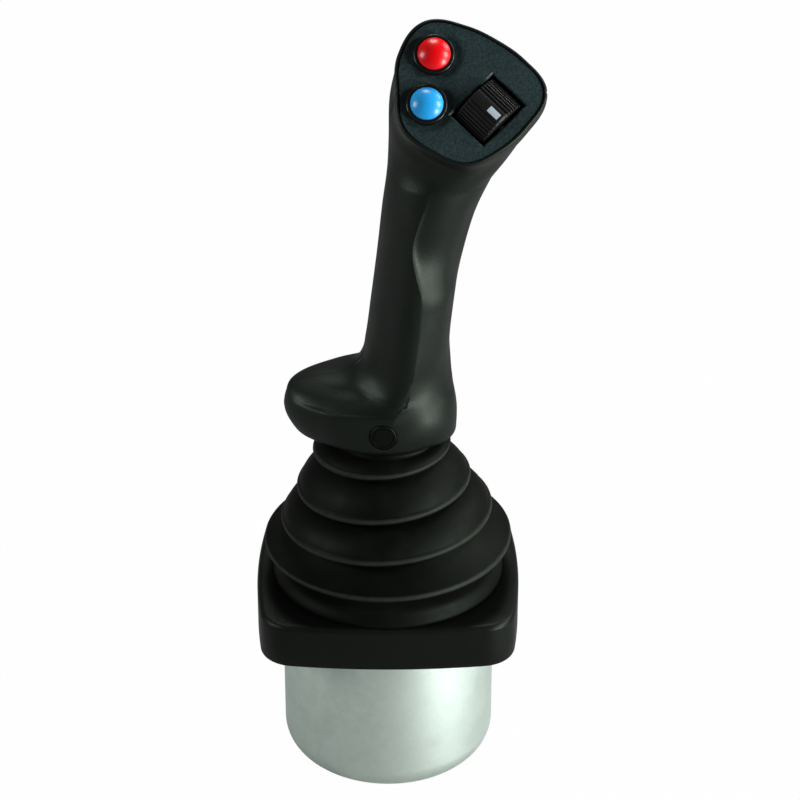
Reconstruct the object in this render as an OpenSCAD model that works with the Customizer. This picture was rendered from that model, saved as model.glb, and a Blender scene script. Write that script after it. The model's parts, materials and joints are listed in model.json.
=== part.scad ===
// Panel-mounted industrial joystick: a moulded grip on a spring-centred two-axis lever,
// a rubber bellows, a square bezel, and a deep-drawn can that hangs below the panel.
// Millimetres. The origin is the centre of the panel seat: +Z up the lever, +X right,
// +Y away from the operator.

/* [Bezel and panel] */
// Width of the bezel, left to right
bezel_w = 91; // [90:1:100]
// Depth of the bezel, front to back
bezel_d = 82; // [81:1:90]
// Height of the bezel above the panel
bezel_h = 16; // [15:0.5:20]
// Wall of the bezel
bezel_wall = 2.6; // [2:0.1:3]
// How far the long sides bow out at their middle
side_bow = 4; // [2:0.5:5]
// Radius of the bezel's corners
corner_r = 12; // [9:1:13]
// Radius of the bezel's upper edge
bezel_edge_r = 2.8; // [1:0.1:4]
// Thickness of the mounting plate
plate_t = 4; // [3:0.5:5]
// Distance between the mounting holes, left to right
mount_x = 63; // [62.5:0.5:64]
// Distance between the mounting holes, front to back
mount_y = 56; // [55.5:0.5:57]
// Drill radius of the M5 mounting holes
mount_hole_r = 2.1; // [1.6:0.1:2.4]

/* [Can] */
// Outer radius of the can
can_r = 37; // [36:0.5:38]
// Depth of the can below the panel
can_depth = 56; // [50:1:80]
// Sheet thickness of the can
can_t = 1.5; // [1:0.1:2]
// Radius of the can's bottom corner
can_corner_r = 9.5; // [4:0.5:12]
// Radius of the cable's passage through the grommet
cable_r = 3.5; // [2:0.5:5]

/* [Gimbal] */
// Height of the two pivot axes above the panel
pivot_z = 22; // [21:0.5:24]
// Radius of the pivot pins
pin_r = 2.5; // [2:0.1:2.8]
// Wall of the pivot bushes
bush_wall = 1.2; // [0.8:0.1:1.5]
// Radius of the lever shaft
shaft_r = 6; // [5:0.5:6.5]
// Wire diameter of the centring springs
spring_wire = 1; // [0.6:0.1:1.1]

/* [Bellows] */
// Radii of the bellows' lips, from the bezel up
lip_radii = [42.7, 36.4, 29.9, 23.5];
// Heights of the lips above the bezel
lip_heights = [14.6, 24.8, 37, 50.6];
// Fullness of the skirts' domes, from 0 for a cone to 1
dome_full = [0.3, 0.66, 0.62, 0.6];
// Thickness of the rubber
rubber_t = 1.8; // [1.2:0.1:2.2]
// Thickness of a lip's edge
lip_t = 2.4; // [1.8:0.1:2.8]

/* [Grip] */
// Height of the grip's bottom edge above the bezel
grip_bottom = 55; // [53.5:0.5:57]
// Wall of the grip's two shells
shell_wall = 2.6; // [2:0.1:3.2]
// Width of the rim around the face plate
rim_w = 1.6; // [1.2:0.1:2]
// Thickness of the face plate
face_t = 2.5; // [2:0.1:3]
// Depth of the seam between the shells
seam_gap = 0.1; // [0.06:0.02:0.2]

/* [Controls] */
// Radius of the push-button caps
button_r = 5.2; // [4.5:0.1:5.6]
// Travel of the push-buttons
button_travel = 2.2; // [1:0.1:2.5]
// Radius of the collars around the buttons
collar_r = 6.5; // [6.4:0.1:7]
// Height of the collars above the face plate
collar_h = 1.6; // [1:0.1:2]
// Radius of the thumb roller
roller_r = 9.5; // [9:0.1:9.8]
// Width of the thumb roller
roller_w = 12.4; // [11:0.1:12.8]
// How far the thumb roller stands out of the face plate
roller_out = 4; // [3:0.1:4.5]

/* [Hidden] */
$fn = 64;
eps = 0.01;
run_clear = 0.05;   // radial clearance of a shaft that turns in its bush
seat_clear = 0.1;   // gap between a piece and the seat that it is dropped into

// ---- grip form -------------------------------------------------------------------------
// The grip is a loft. Each station holds its height above the bezel, the centre (x, y) of
// its section, the angle of the ridge between palm face and finger side, the depth of the
// finger scoop behind that ridge, and the section's radius every 30 degrees, counted from
// +X towards +Y. Above bend_s the sections fan forward about the line (bend_y, bend_s) until
// they lie in the face plate's plane.
face_tilt = 50;
bend_s = 149.8;
bend_y = -27.8;
bend_r = 37.5;
straight = 5;          // the head's last stretch runs straight, square to the face plate
bend_top = bend_s + bend_r * face_tilt * PI / 180;
top_s = bend_top + straight;
STATIONS = [
    [53,    4, 0,   262, 0,   19.2, 19, 18.5, 17.5, 18.8, 23.6, 32.5, 25.2, 21.4, 18.2, 16, 18.4],
    [58,    4, 0,   262, 0,   19.3, 19, 18.5, 17.6, 19.6, 26, 36, 28, 22, 19.4, 18.2, 19.4],
    [62,    4, 0,   262, 0,   19.4, 19, 18.5, 17.8, 20, 28, 38.2, 29.5, 22, 20, 19.4, 19.9],
    [66,    4, 0,   263, 0.3, 19.3, 19, 18.5, 18, 20.4, 28.8, 39, 30.2, 22, 20, 19.8, 19.8],
    [70,    4, 0,   266, 1,   18.7, 18.6, 18.3, 18, 20.2, 28.8, 38.2, 29.6, 21.8, 19.9, 19.6, 19.3],
    [73,    4.3, 0.2, 274, 1.6, 17.8, 18.2, 18, 18, 19.8, 28.8, 36.8, 25.4, 20, 19.6, 19.2, 18.6],
    [75.5,  4.6, 0.3, 276, 2,   17.2, 17.6, 17.8, 17.8, 18.8, 25.2, 30.5, 19.6, 18, 19, 18.8, 18],
    [78,    5, 0.4, 277, 2.2, 16.5, 17, 17.5, 17.7, 18, 18.8, 19.4, 16.6, 16.7, 18.7, 18.4, 17.4],
    [82,    5.6, 0.5, 278, 2.2, 15.6, 16.3, 17.2, 17.7, 17.3, 16, 14.7, 14.4, 15.7, 18.5, 18, 16.7],
    [90,    6.5, 0.6, 280, 1.2, 14.3, 15.4, 17, 18, 16.8, 14.8, 13.8, 13.9, 15.4, 18.5, 17.8, 15.7],
    [104,   8, 0.8, 279, 0.5, 14, 15.2, 17, 18.5, 17, 14.5, 13.5, 13.8, 15.5, 18.6, 17.6, 15.2],
    [122,   10.5, 1.2, 268, 2.6, 13.9, 15.2, 17.4, 19, 17.4, 14.8, 13.8, 14.2, 16.2, 19, 18.2, 15.4],
    [138,   13.2, 2.2, 263, 2,   15.2, 16.2, 18, 19.5, 18, 15.6, 14.8, 15.3, 17.4, 19.6, 19.2, 16.8],
    [150,   16, 3.4, 262, 0.8, 18.2, 18.4, 19.4, 20, 19, 17, 16, 16.6, 18.6, 20.2, 20.2, 19],
    [161,   19, 5.5, 262, 0,   21.6, 20.6, 20, 21.5, 22, 20, 18.4, 18.8, 20.2, 21.6, 21.2, 21],
    [171.5, 22, 7.6, 262, 0,   24, 21.6, 20, 22.3, 25.4, 23.4, 21, 21.6, 22, 23.2, 22, 22],
    [bend_top, 25, 9.7, 262, 0, 25.6, 21.5, 19.9, 22, 26.9, 24.9, 22.4, 23.8, 23, 24.2, 22.4, 22.8],
    [top_s, 25, 9.7, 262, 0,    25.6, 21.5, 19.9, 22, 26.9, 24.9, 22.4, 23.8, 23, 24.2, 22.4, 22.8]
];
station_n = len(STATIONS);
knots = 12;
head = 5;              // values in a station before its radii

// Slope of every value at station i, from its two neighbours; none along the last stretch.
function slope(i) =
    let (last = i > station_n - 3, a = last ? i : max(i - 1, 0), b = i + 1)
    last ? 0 * STATIONS[i] :
    (STATIONS[b] - STATIONS[a]) / (STATIONS[b][0] - STATIONS[a][0]);

// Index of the station at or below height s.
function below(s) = max([for (i = [0 : station_n - 2]) if (STATIONS[i][0] <= s + eps) i]);

// All values of the section at height s, on a smooth curve through the stations.
function section(s) =
    let (i = below(s), a = STATIONS[i], b = STATIONS[i + 1], h = b[0] - a[0],
         t = (s - a[0]) / h, t2 = t * t, t3 = t2 * t)
    (2 * t3 - 3 * t2 + 1) * a + (t3 - 2 * t2 + t) * h * slope(i)
    + (3 * t2 - 2 * t3) * b + (t3 - t2) * h * slope(i + 1);

// Depth of the finger scoop at an angle: it starts sharply at the ridge and fades out.
scoop_span = 80;
function scoop(v, angle) =
    let (u = (angle - v[3]) / scoop_span)
    u <= 0 || u >= 1 ? 0 : 2.6 * v[4] * sqrt(u) * (1 - u);

// The palm face ends below in the ledge, a soft step that the ridge turns into: it runs
// round a corner and along the hand rest, and fades out at the rest's end.
ledge_s = 69.8;
ledge_step = 0.9;
ledge_edge = 0.8;                // height over which the step is made
ledge_fade = 6;                  // and over which it fades into the face above
ledge_corner = 256;              // angle where the corner begins
ledge_turn = 22;                 // how many degrees round the grip the corner takes
ledge_rise = 7;                  // and how far up it climbs
ledge_end = 190;                 // angle of the ledge's left end
ledge_run_out = 20;
function ledge(v, angle) =
    let (turn = max(0, (angle - ledge_corner) / ledge_turn),
         foot = ledge_s + ledge_rise * (1 - sqrt(max(0, 1 - turn * turn))),
         up = v[0] - foot, swell = min(1, (angle - ledge_end) / ledge_run_out))
    up <= 0 || up >= ledge_fade || swell <= 0 || turn >= 1 ? 0 :
    ledge_step * swell * min(1, up / ledge_edge) * (1 - up / ledge_fade);

// Radius of a section at an angle, on a smooth closed curve through its twelve radii.
function radius(v, angle) =
    let (p = angle / (360 / knots), i = floor(p), t = p - i,
         a = v[head + (i + knots - 1) % knots], b = v[head + i % knots],
         c = v[head + (i + 1) % knots], d = v[head + (i + 2) % knots])
    0.5 * (2 * b + (c - a) * t + (2 * a - 5 * b + 4 * c - d) * t * t
           + (3 * b - a - 3 * c + d) * t * t * t) - scoop(v, angle) - ledge(v, angle);

// Rounding of the shell's upper rim and lower edge, as an inset.
rim_round = 1.2;
foot_round = 2.4;
function round_in(s) =
    let (up = (s - top_s + rim_round) / rim_round, down = (grip_bottom + foot_round - s) / foot_round)
    up > 0 ? 0.8 * rim_round * (1 - sqrt(max(0, 1 - up * up))) :
    down > 0 ? foot_round * (1 - sqrt(max(0, 1 - down * down))) : 0;

// A point of the section at height s, at an angle and a distance from its centre, shifted
// by the seam's gap along the section.
function place(v, s, angle, r, shift) =
    let (tilt = max(0, min(s, bend_top) - bend_s) / bend_r * 180 / PI, rise = max(0, s - bend_top),
         x = v[1] + r * cos(angle), y = v[2] - bend_y + r * sin(angle) + shift)
    [x, bend_y + y * cos(tilt) - rise * sin(tilt),
     bezel_h + min(s, bend_s) + y * sin(tilt) + rise * cos(tilt)];

// ---- frames of the face plate and its controls -----------------------------------------
face_y = 15;            // distance of the face plate's lower edge from the bend line
function on_face(a, b, h) =
    [a, bend_y + (face_y + b) * cos(face_tilt) - (h + straight) * sin(face_tilt),
     bezel_h + bend_s + (face_y + b) * sin(face_tilt) + (h + straight) * cos(face_tilt)];
module at_face(a = 0, b = 0, h = 0) {
    translate(on_face(a, b, h)) rotate([face_tilt, 0, 0]) children();
}
red_at = [14.9, 34.5];
blue_at = [12.6, 18.2];
roller_at = [31.9, 16.7];
roller_turn = -45;      // the roller's axis, in the face plate's plane
opening = [14.6, 19];   // the roller's window, across and along its roll
face_drop = 0.3;        // the face plate lies this far below the rim
roller_depth = roller_r - roller_out + face_drop;
module at_roller(h = 0) {
    at_face(roller_at[0], roller_at[1], h) rotate([0, 0, roller_turn]) children();
}

// ---- shared outlines -------------------------------------------------------------------
// The bezel's plan: four bowed sides and round corners, inset by a distance.
function arc_points(centre, r, from, to, n) =
    [for (i = [0 : n]) let (a = from + (to - from) * i / n) centre + r * [cos(a), sin(a)]];
function bow_r(span) = span * span / (8 * side_bow) + side_bow / 2;
module bowed_plan(inset = 0) {
    w = bezel_w / 2 - inset;
    d = bezel_d / 2 - inset;
    side_r = bow_r(bezel_d);
    front_r = bow_r(bezel_w);
    corner = max(1, corner_r - inset);
    // centre of the corner arc: it touches both side arcs from inside
    cx = w - side_r;
    cy = d - front_r;
    a = side_r - corner;
    b = front_r - corner;
    gap = sqrt(cx * cx + cy * cy);
    along = (a * a - b * b + gap * gap) / (2 * gap);
    off = sqrt(a * a - along * along);
    u = [-cx, cy] / gap;
    k = [cx, 0] + along * u + off * [-u[1], u[0]];
    k2 = [cx, 0] + along * u - off * [-u[1], u[0]];
    c = k[0] > k2[0] ? k : k2;
    side_a = atan2(c[1], c[0] - cx);
    front_a = atan2(c[1] - cy, c[0]);
    quarter = concat(arc_points([cx, 0], side_r, 0, side_a, 6),
                     arc_points(c, corner, side_a, front_a, 6),
                     arc_points([0, cy], front_r, front_a, 90, 6));
    n = len(quarter);
    full = [for (q = [0 : 3], i = [0 : n - 2])
        let (p = q % 2 == 0 ? quarter[i] : quarter[n - 1 - i])
        q == 0 ? p : q == 1 ? [-p[0], p[1]] : q == 2 ? -p : [p[0], -p[1]]];
    polygon(full);
}
module at_corners(p) {
    for (sx = [-1, 1], sy = [-1, 1]) translate([sx * p[0], sy * p[1], 0]) children();
}

// ---- bezel and panel -------------------------------------------------------------------
screw_inset = [9.2, 21.5];       // from the bezel's sides to its screws
bezel_screw_at = [bezel_w, bezel_d] / 2 - screw_inset;
bezel_screw_r = 1.5;
boss_r = 2.9;
plate_inset = bezel_wall + 0.4;
bezel_open_r = min(bezel_w, bezel_d) / 2 - 3;
cuff_r = bezel_open_r + 2;
cuff_h = 4;
lip_in = can_r - 5.5;             // opening inside the can's turned-in lip
body_screw_r = 1.5;
body_screw_at = [1, 1] * (lip_in + 2.2) / sqrt(2);
mount_at = [mount_x / 2, mount_y / 2];

module bezel() {
    color("#17191a") {
        difference() {
            hull() {
                linear_extrude(bezel_h - bezel_edge_r) bowed_plan();
                for (a = [22.5, 45, 67.5, 90])
                    linear_extrude(bezel_h - bezel_edge_r * (1 - sin(a)))
                        bowed_plan(bezel_edge_r * (1 - cos(a)));
            }
            translate([0, 0, -eps]) linear_extrude(bezel_h - bezel_wall + eps)
                bowed_plan(bezel_wall);
            translate([0, 0, -eps]) cylinder(h = bezel_h + 1, r = bezel_open_r);
        }
        at_corners(bezel_screw_at) translate([0, 0, plate_t]) difference() {
            cylinder(h = bezel_h - bezel_wall - plate_t + eps, r = boss_r);
            translate([0, 0, -eps]) cylinder(h = 7, r = bezel_screw_r);
        }
    }
}

// Countersunk screw: its head's top at z = 0, its shank towards -Z.
module countersunk_screw(r, length) {
    translate([0, 0, -length]) cylinder(h = length, r = r);
    rotate_extrude() polygon([[0, 0], [2 * r, 0], [2 * r, -0.3], [r, -r - 0.3], [0, -r - 0.3]]);
}
module bezel_screws() {
    color("#8a8f92") at_corners(bezel_screw_at)
        rotate([180, 0, 0]) countersunk_screw(bezel_screw_r, plate_t + 6);
}

module mounting_plate() {
    color("#9aa0a3") difference() {
        linear_extrude(plate_t) bowed_plan(plate_inset);
        translate([0, 0, -eps]) cylinder(h = plate_t + 1, r = lip_in);
        at_corners(mount_at) translate([0, 0, -eps]) cylinder(h = plate_t + 1, r = mount_hole_r);
        at_corners(body_screw_at) translate([0, 0, -eps])
            cylinder(h = plate_t + 1, r = body_screw_r);
        at_corners(bezel_screw_at) {
            translate([0, 0, -eps]) cylinder(h = plate_t + 1, r = bezel_screw_r + seat_clear);
            rotate_extrude() polygon([[0, -eps], [2 * bezel_screw_r + seat_clear, -eps],
                [2 * bezel_screw_r + seat_clear, 0.3], [bezel_screw_r + seat_clear, bezel_screw_r + 0.3],
                [0, bezel_screw_r + 0.3]]);
        }
    }
}

// ---- can -------------------------------------------------------------------------------
grommet_r = cable_r + 3.5;
module can() {
    wall_h = can_depth - can_corner_r;
    color("#b9c2bd") difference() {
        rotate_extrude($fn = 128) difference() {
            union() {
                translate([0, -wall_h]) square([can_r, wall_h]);
                translate([0, -can_depth]) square([can_r - can_corner_r, can_corner_r + eps]);
                translate([can_r - can_corner_r, -wall_h]) circle(r = can_corner_r);
            }
            translate([0, -wall_h]) square([can_r - can_t, wall_h - can_t]);
            translate([0, -can_depth + can_t]) square([can_r - can_corner_r, can_corner_r]);
            translate([can_r - can_corner_r, -wall_h]) circle(r = can_corner_r - can_t);
            translate([-1, -can_t - eps]) square([lip_in + 1, can_t + 1]);
            translate([-2 * can_r, -can_depth - 1]) square([2 * can_r, 2 * can_depth]);
        }
        translate([0, 0, -can_depth - 1]) cylinder(h = can_t + 2, r = grommet_r - 1.5);
        at_corners(body_screw_at) translate([0, 0, -can_t - 1])
            cylinder(h = can_t + 2, r = body_screw_r);
    }
}

module cable_grommet() {
    color("#1a1a1a") translate([0, 0, -can_depth]) rotate_extrude() polygon([
        [cable_r, -3], [grommet_r - 1.5, -3], [grommet_r, -2], [grommet_r, 0],
        [grommet_r - 1.5, 0], [grommet_r - 1.5, can_t], [grommet_r, can_t],
        [grommet_r, can_t + 1.5], [grommet_r - 1.5, can_t + 4], [cable_r, can_t + 4]]);
}

// ---- gimbal ----------------------------------------------------------------------------
body_t = 4;                      // plate of the gimbal body
body_open_r = 23;
yoke_half = [14, 15];            // outer half sizes of the yoke, x and y
window_half = [9.5, 10.5];       // its window
yoke_h = 10;
spring_room = 3.5;               // gap that holds a centring spring
ear_in = yoke_half[0] + spring_room;
ear_t = 5;
ear_w = 15;
hub_half = window_half[1] - spring_room;
hub_r = shaft_r + 1;
bush_r = pin_r + run_clear + bush_wall;

module gimbal_body() {
    ear_top = pivot_z + bush_r + 3;
    color("#6d7275") difference() {
        union() {
            translate([0, 0, plate_t]) linear_extrude(body_t) difference() {
                bowed_plan(plate_inset + 0.4);
                circle(r = body_open_r);
                at_corners(mount_at) circle(r = mount_hole_r + 0.8);
                at_corners(bezel_screw_at) circle(r = boss_r + 0.4);
            }
            for (s = [-1, 1]) translate([s * (ear_in + ear_t / 2), 0, 0]) rotate([90, 0, 90])
                translate([0, 0, -ear_t / 2]) linear_extrude(ear_t) union() {
                    translate([-ear_w / 2, plate_t + body_t - eps])
                        square([ear_w, pivot_z - plate_t - body_t]);
                    translate([0, pivot_z]) circle(r = ear_w / 2);
                }
        }
        for (s = [-1, 1]) translate([s * (ear_in - 1), 0, pivot_z]) rotate([0, s * 90, 0])
            cylinder(h = ear_t + 2, r = pin_r);
        at_corners(body_screw_at) cylinder(h = ear_top, r = body_screw_r + 0.2);
    }
}

// Pan-head screw: underside of its head at z = 0, shank towards -Z.
module pan_screw(r, length, head_h, head_r) {
    difference() {
        union() {
            translate([0, 0, -length]) cylinder(h = length + eps, r = r);
            cylinder(h = head_h, r = head_r);
        }
        translate([0, 0, head_h / 2]) cylinder(h = head_h, r = r * 0.7, $fn = 6);
    }
}
module body_screws() {
    color("#8a8f92") at_corners(body_screw_at) translate([0, 0, plate_t + body_t])
        pan_screw(body_screw_r, body_t + plate_t + can_t, 2, 2.8);
}

module yoke_pins() {
    length = ear_in + ear_t - window_half[0];
    color("#c8ccce") for (s = [-1, 1]) translate([s * window_half[0], 0, pivot_z])
        rotate([0, s * 90, 0]) cylinder(h = length, r = pin_r);
}

module gimbal_yoke() {
    color("#7d8386") difference() {
        translate([0, 0, pivot_z]) linear_extrude(yoke_h, center = true) difference() {
            hull() for (sx = [-1, 1], sy = [-1, 1])
                translate([sx * (yoke_half[0] - 3), sy * (yoke_half[1] - 3)]) circle(r = 3, $fn = 32);
            square(2 * window_half, center = true);
        }
        translate([0, 0, pivot_z]) rotate([0, 90, 0]) cylinder(h = 40, r = bush_r, center = true);
        translate([0, 0, pivot_z]) rotate([90, 0, 0]) cylinder(h = 40, r = bush_r, center = true);
    }
}
module bush(length) {
    difference() {
        cylinder(h = length, r = bush_r);
        translate([0, 0, -1]) cylinder(h = length + 2, r = pin_r + run_clear);
    }
}
module yoke_bushes() {
    color("#b08d4f") for (s = [-1, 1]) translate([s * window_half[0], 0, pivot_z])
        rotate([0, s * 90, 0]) bush(yoke_half[0] - window_half[0]);
}
module lever_bushes() {
    color("#b08d4f") for (s = [-1, 1]) translate([0, s * window_half[1], pivot_z])
        rotate([-s * 90, 0, 0]) bush(yoke_half[1] - window_half[1]);
}

// Torsion spring: a close coil about Z from z = 0, each end turned out as a leg.
coil_r = pin_r + 0.3 + spring_wire / 2;
coil_turns = 2.5;
coil_steps = 14;                 // rings in one turn
wire_sides = 6;
function coil_path(r, pitch, turns) =
    [for (i = [0 : coil_steps * turns]) let (a = 360 * i / coil_steps)
        [r * cos(a), r * sin(a), pitch * i / coil_steps]];
module wire_coil(r, wire, pitch, turns) {
    path = coil_path(r, pitch, turns);
    n = len(path);
    rings = [for (i = [0 : n - 1]) let (a = 360 * i / coil_steps, p = path[i])
        for (j = [0 : wire_sides - 1]) let (b = 360 * j / wire_sides)
            [p[0] + wire / 2 * cos(b) * cos(a), p[1] + wire / 2 * cos(b) * sin(a),
             p[2] + wire / 2 * sin(b)]];
    sides = [for (i = [0 : n - 2], j = [0 : wire_sides - 1])
        let (a = i * wire_sides + j, b = i * wire_sides + (j + 1) % wire_sides)
        each [[a, b, b + wire_sides], [a, b + wire_sides, a + wire_sides]]];
    polyhedron(rings, concat(sides, [[for (j = [wire_sides - 1 : -1 : 0]) j]],
        [[for (j = [0 : wire_sides - 1]) (n - 1) * wire_sides + j]]));
}
module torsion_spring() {
    spring_pitch = (spring_room - spring_wire - 0.2) / coil_turns;
    translate([0, 0, spring_wire / 2 + 0.1])
        wire_coil(coil_r, spring_wire, spring_pitch, coil_turns);
}
module pitch_springs() {
    color("#c8ccce") for (s = [-1, 1]) translate([s * yoke_half[0], 0, pivot_z])
        rotate([0, s * 90, 0]) torsion_spring();
}
module roll_springs() {
    color("#c8ccce") for (s = [-1, 1]) translate([0, s * hub_half, pivot_z])
        rotate([-s * 90, 0, 0]) torsion_spring();
}

// ---- sensing ---------------------------------------------------------------------------
magnet_r = 4;
magnet_t = 4;
magnet_z = -8;                   // lower face of the magnet
board_z = -16;                   // upper face of the board
board_t = 1.6;
board_r = lip_in - 1;            // it passes the can's lip
post_r = 3;
post_at = board_r - 4.5;
sensor_h = 2;

module at_posts() {
    for (a = [45 : 90 : 315]) rotate([0, 0, a]) translate([post_at, 0, 0]) children();
}
module sensor_board() {
    color("#1f5a3a") difference() {
        translate([0, 0, board_z - board_t]) cylinder(h = board_t, r = board_r);
        at_posts() translate([0, 0, board_z - 3]) cylinder(h = 6, r = 1.5);
    }
}
// Each post hangs from the gimbal body, and its stud passes through the board.
module board_posts() {
    color("#8a8f92") at_posts() {
        translate([0, 0, board_z]) cylinder(h = plate_t - board_z, r = post_r, $fn = 6);
        translate([0, 0, board_z - board_t - 2]) cylinder(h = board_t + 2 + eps, r = 1.4);
    }
}
module hall_sensor() {
    color("#202225") translate([-3, -3, board_z]) cube([6, 6, sensor_h]);
}
module sensor_magnet() {
    color("#606468") translate([0, 0, magnet_z]) cylinder(h = magnet_t, r = magnet_r);
}

// ---- lever -----------------------------------------------------------------------------
shaft_top = bezel_h + grip_bottom + 18;
module lever_hub() {
    color("#7d8386") difference() {
        translate([0, 0, pivot_z]) rotate([90, 0, 0]) cylinder(h = 2 * hub_half, r = hub_r, center = true);
        translate([0, 0, pivot_z]) rotate([90, 0, 0]) cylinder(h = 40, r = pin_r, center = true);
        translate([0, 0, pivot_z]) for (s = [0, 180]) rotate([s, 0, 0])
            translate([0, 0, socket_z]) cylinder(h = 20, r = spigot_r);
    }
}
module lever_pin() {
    color("#c8ccce") translate([0, 0, pivot_z]) rotate([90, 0, 0])
        cylinder(h = 2 * yoke_half[1], r = pin_r, center = true);
}
// The shaft is spigoted into the hub from above, and the sensor's tail from below.
spigot_r = shaft_r - 2;
socket_z = pin_r + 1;            // bottom of a spigot's socket, from the pivot
module lever_shaft() {
    color("#b4b9bb") translate([0, 0, pivot_z]) {
        translate([0, 0, socket_z]) cylinder(h = hub_r - socket_z, r = spigot_r);
        translate([0, 0, hub_r]) cylinder(h = shaft_top - pivot_z - hub_r, r = shaft_r);
    }
}
module sensor_tail() {
    color("#9aa0a3") translate([0, 0, magnet_z + magnet_t])
        cylinder(h = pivot_z - socket_z - magnet_z - magnet_t, r = spigot_r);
}

// ---- bellows ---------------------------------------------------------------------------
neck_r = 15.5;                   // inside of the upper cuff
neck_top = grip_bottom - 0.3;
function lerp2(a, b, t) = a + (b - a) * t;
function bend3(a, b, c, t) = lerp2(lerp2(a, b, t), lerp2(b, c, t), t);
lip_n = len(lip_radii);
// Where a fold goes in under the next lip up, and the top cuff for the last fold.
function tuck(i) = i < lip_n - 1 ? [lip_radii[i + 1] - 3.6, lip_heights[i + 1] - lip_t - 2.2]
                                 : [neck_r + rubber_t + 0.6, neck_top - 1.6];
// A point of a skirt's dome, from its lip to the valley under the next lip.
function dome(i, t) =
    let (r = lip_radii[i], h = lip_heights[i], end = tuck(i), full = dome_full[i])
    bend3([r - 0.8, h - 0.1], [lerp2(end[0], r - 1, sqrt(full)), lerp2(h, end[1], full)], end, t);
function fold_outside(i) =
    let (bead = lip_t / 2, centre = [lip_radii[i], lip_heights[i]] - [bead, bead])
    concat([for (a = [-90 : 30 : 30]) centre + bead * [cos(a), sin(a)]],
           [for (t = [0 : 0.2 : 1]) dome(i, t)]);
function fold_inside(i) =
    let (end = tuck(i), valley = i < lip_n - 1 ? end + [-rubber_t, 0.4] : [neck_r, end[1] - 1])
    [valley, for (t = [0.85, 0.6, 0.35]) dome(i, t) - rubber_t * [cos(90 * t), sin(90 * t)],
     [lip_radii[i] - 2.6, lip_heights[i] - 0.6]];
module bellows() {
    outside = [for (i = [0 : lip_n - 1]) each fold_outside(i)];
    inside = [for (i = [lip_n - 1 : -1 : 0]) each fold_inside(i)];
    color("#141414") translate([0, 0, bezel_h]) rotate_extrude($fn = 128) polygon(concat(
        [[bezel_open_r - 2.4, -bezel_wall], [bezel_open_r - 0.1, -bezel_wall], [bezel_open_r - 0.1, 0],
         [cuff_r, 0], [cuff_r, cuff_h - 1], [cuff_r - 1, cuff_h], [cuff_r - 2.4, cuff_h + 1]],
        outside,
        [[neck_r + rubber_t, neck_top - 1], [neck_r + rubber_t, neck_top], [neck_r, neck_top]],
        inside,
        [[cuff_r - 4, cuff_h + 1.5]]));
}
module bellows_collar() {
    color("#8a8f92") difference() {
        translate([0, 0, bezel_h + neck_top - 6]) cylinder(h = 6, r = neck_r - 0.2);
        cylinder(h = 200, r = shaft_r + eps);
    }
}

// ---- grip ------------------------------------------------------------------------------
grip_hole_r = 13;
floor_t = 3;
// Heights of the loft's rings, closer together where the form turns fast.
RINGS = concat([0, 0.4, 1.2, foot_round, floor_t + 1],
               [for (s = [61.5, 64.5, 67.5, ledge_s, ledge_s + ledge_edge, 72, 73.5, 75, 76.5, 78, 80, 83, 87,
                          92, 98, 104, 110, 115, 119, 124, 129, 134, 140, 145]) s - grip_bottom],
               [for (s = [bend_s + 5 : 5 : bend_top]) s - grip_bottom],
               [for (d = [face_t + 1.6, face_t + 0.05, face_t, rim_round, 0.6, 0.2, 0])
                   top_s - d - grip_bottom]);
ring_n = len(RINGS);
half_steps = 24;                 // steps around one shell

// The inner side of ring k: [height, inset from the outer form, or 0 for the floor's hole].
function lining(k) =
    let (s = grip_bottom + RINGS[k], depth = top_s - s)
    k < 4 ? [grip_bottom + RINGS[k] * floor_t / RINGS[3], 0] :
    k == 4 ? [grip_bottom + floor_t, shell_wall] :
    depth > face_t + 2.5 ? [s, shell_wall] :
    depth > face_t + 0.01 ? [s, rim_w + 1.6] : [s, rim_w];
function shell_point(k, angle, inner, shift) =
    let (s = grip_bottom + RINGS[k], line = lining(k), h = inner ? line[0] : s, v = section(h),
         r = radius(v, angle % 360) - (inner ? 0 : round_in(s)))
    inner && line[1] == 0
        ? [grip_hole_r * cos(angle), grip_hole_r * sin(angle) + shift, bezel_h + h]
        : place(v, h, angle, r - (inner ? line[1] : 0), shift);
// One half of the grip: a shell whose outer and inner skins join at foot, rim and seam.
module grip_shell(from, seam) {
    cols = half_steps + 1;
    skin = ring_n * cols;
    points = [for (inner = [false, true], k = [0 : ring_n - 1], c = [0 : half_steps])
        let (edge = c == 0 || c == half_steps)
        shell_point(k, from + 180 * c / half_steps, inner, edge ? seam : 0)];
    function quad(a, b, c, d) = [[a, b, c], [a, c, d]];
    walls = [for (k = [0 : ring_n - 2], c = [0 : half_steps - 1])
        let (a = k * cols + c, b = a + 1, d = a + cols, e = d + 1)
        each concat(quad(b, a, d, e), quad(skin + a, skin + b, skin + e, skin + d))];
    seams = [for (k = [0 : ring_n - 2])
        let (a = k * cols, d = a + cols, b = a + half_steps, e = d + half_steps)
        each concat(quad(a, skin + a, skin + d, d), quad(skin + b, b, e, skin + e))];
    foot = [for (c = [0 : half_steps - 1]) each quad(c, c + 1, skin + c + 1, skin + c)];
    last = (ring_n - 1) * cols;
    rim = [for (c = [0 : half_steps - 1])
        each quad(last + c + 1, last + c, skin + last + c, skin + last + c + 1)];
    polyhedron(points, concat(walls, seams, foot, rim));
}
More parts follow.
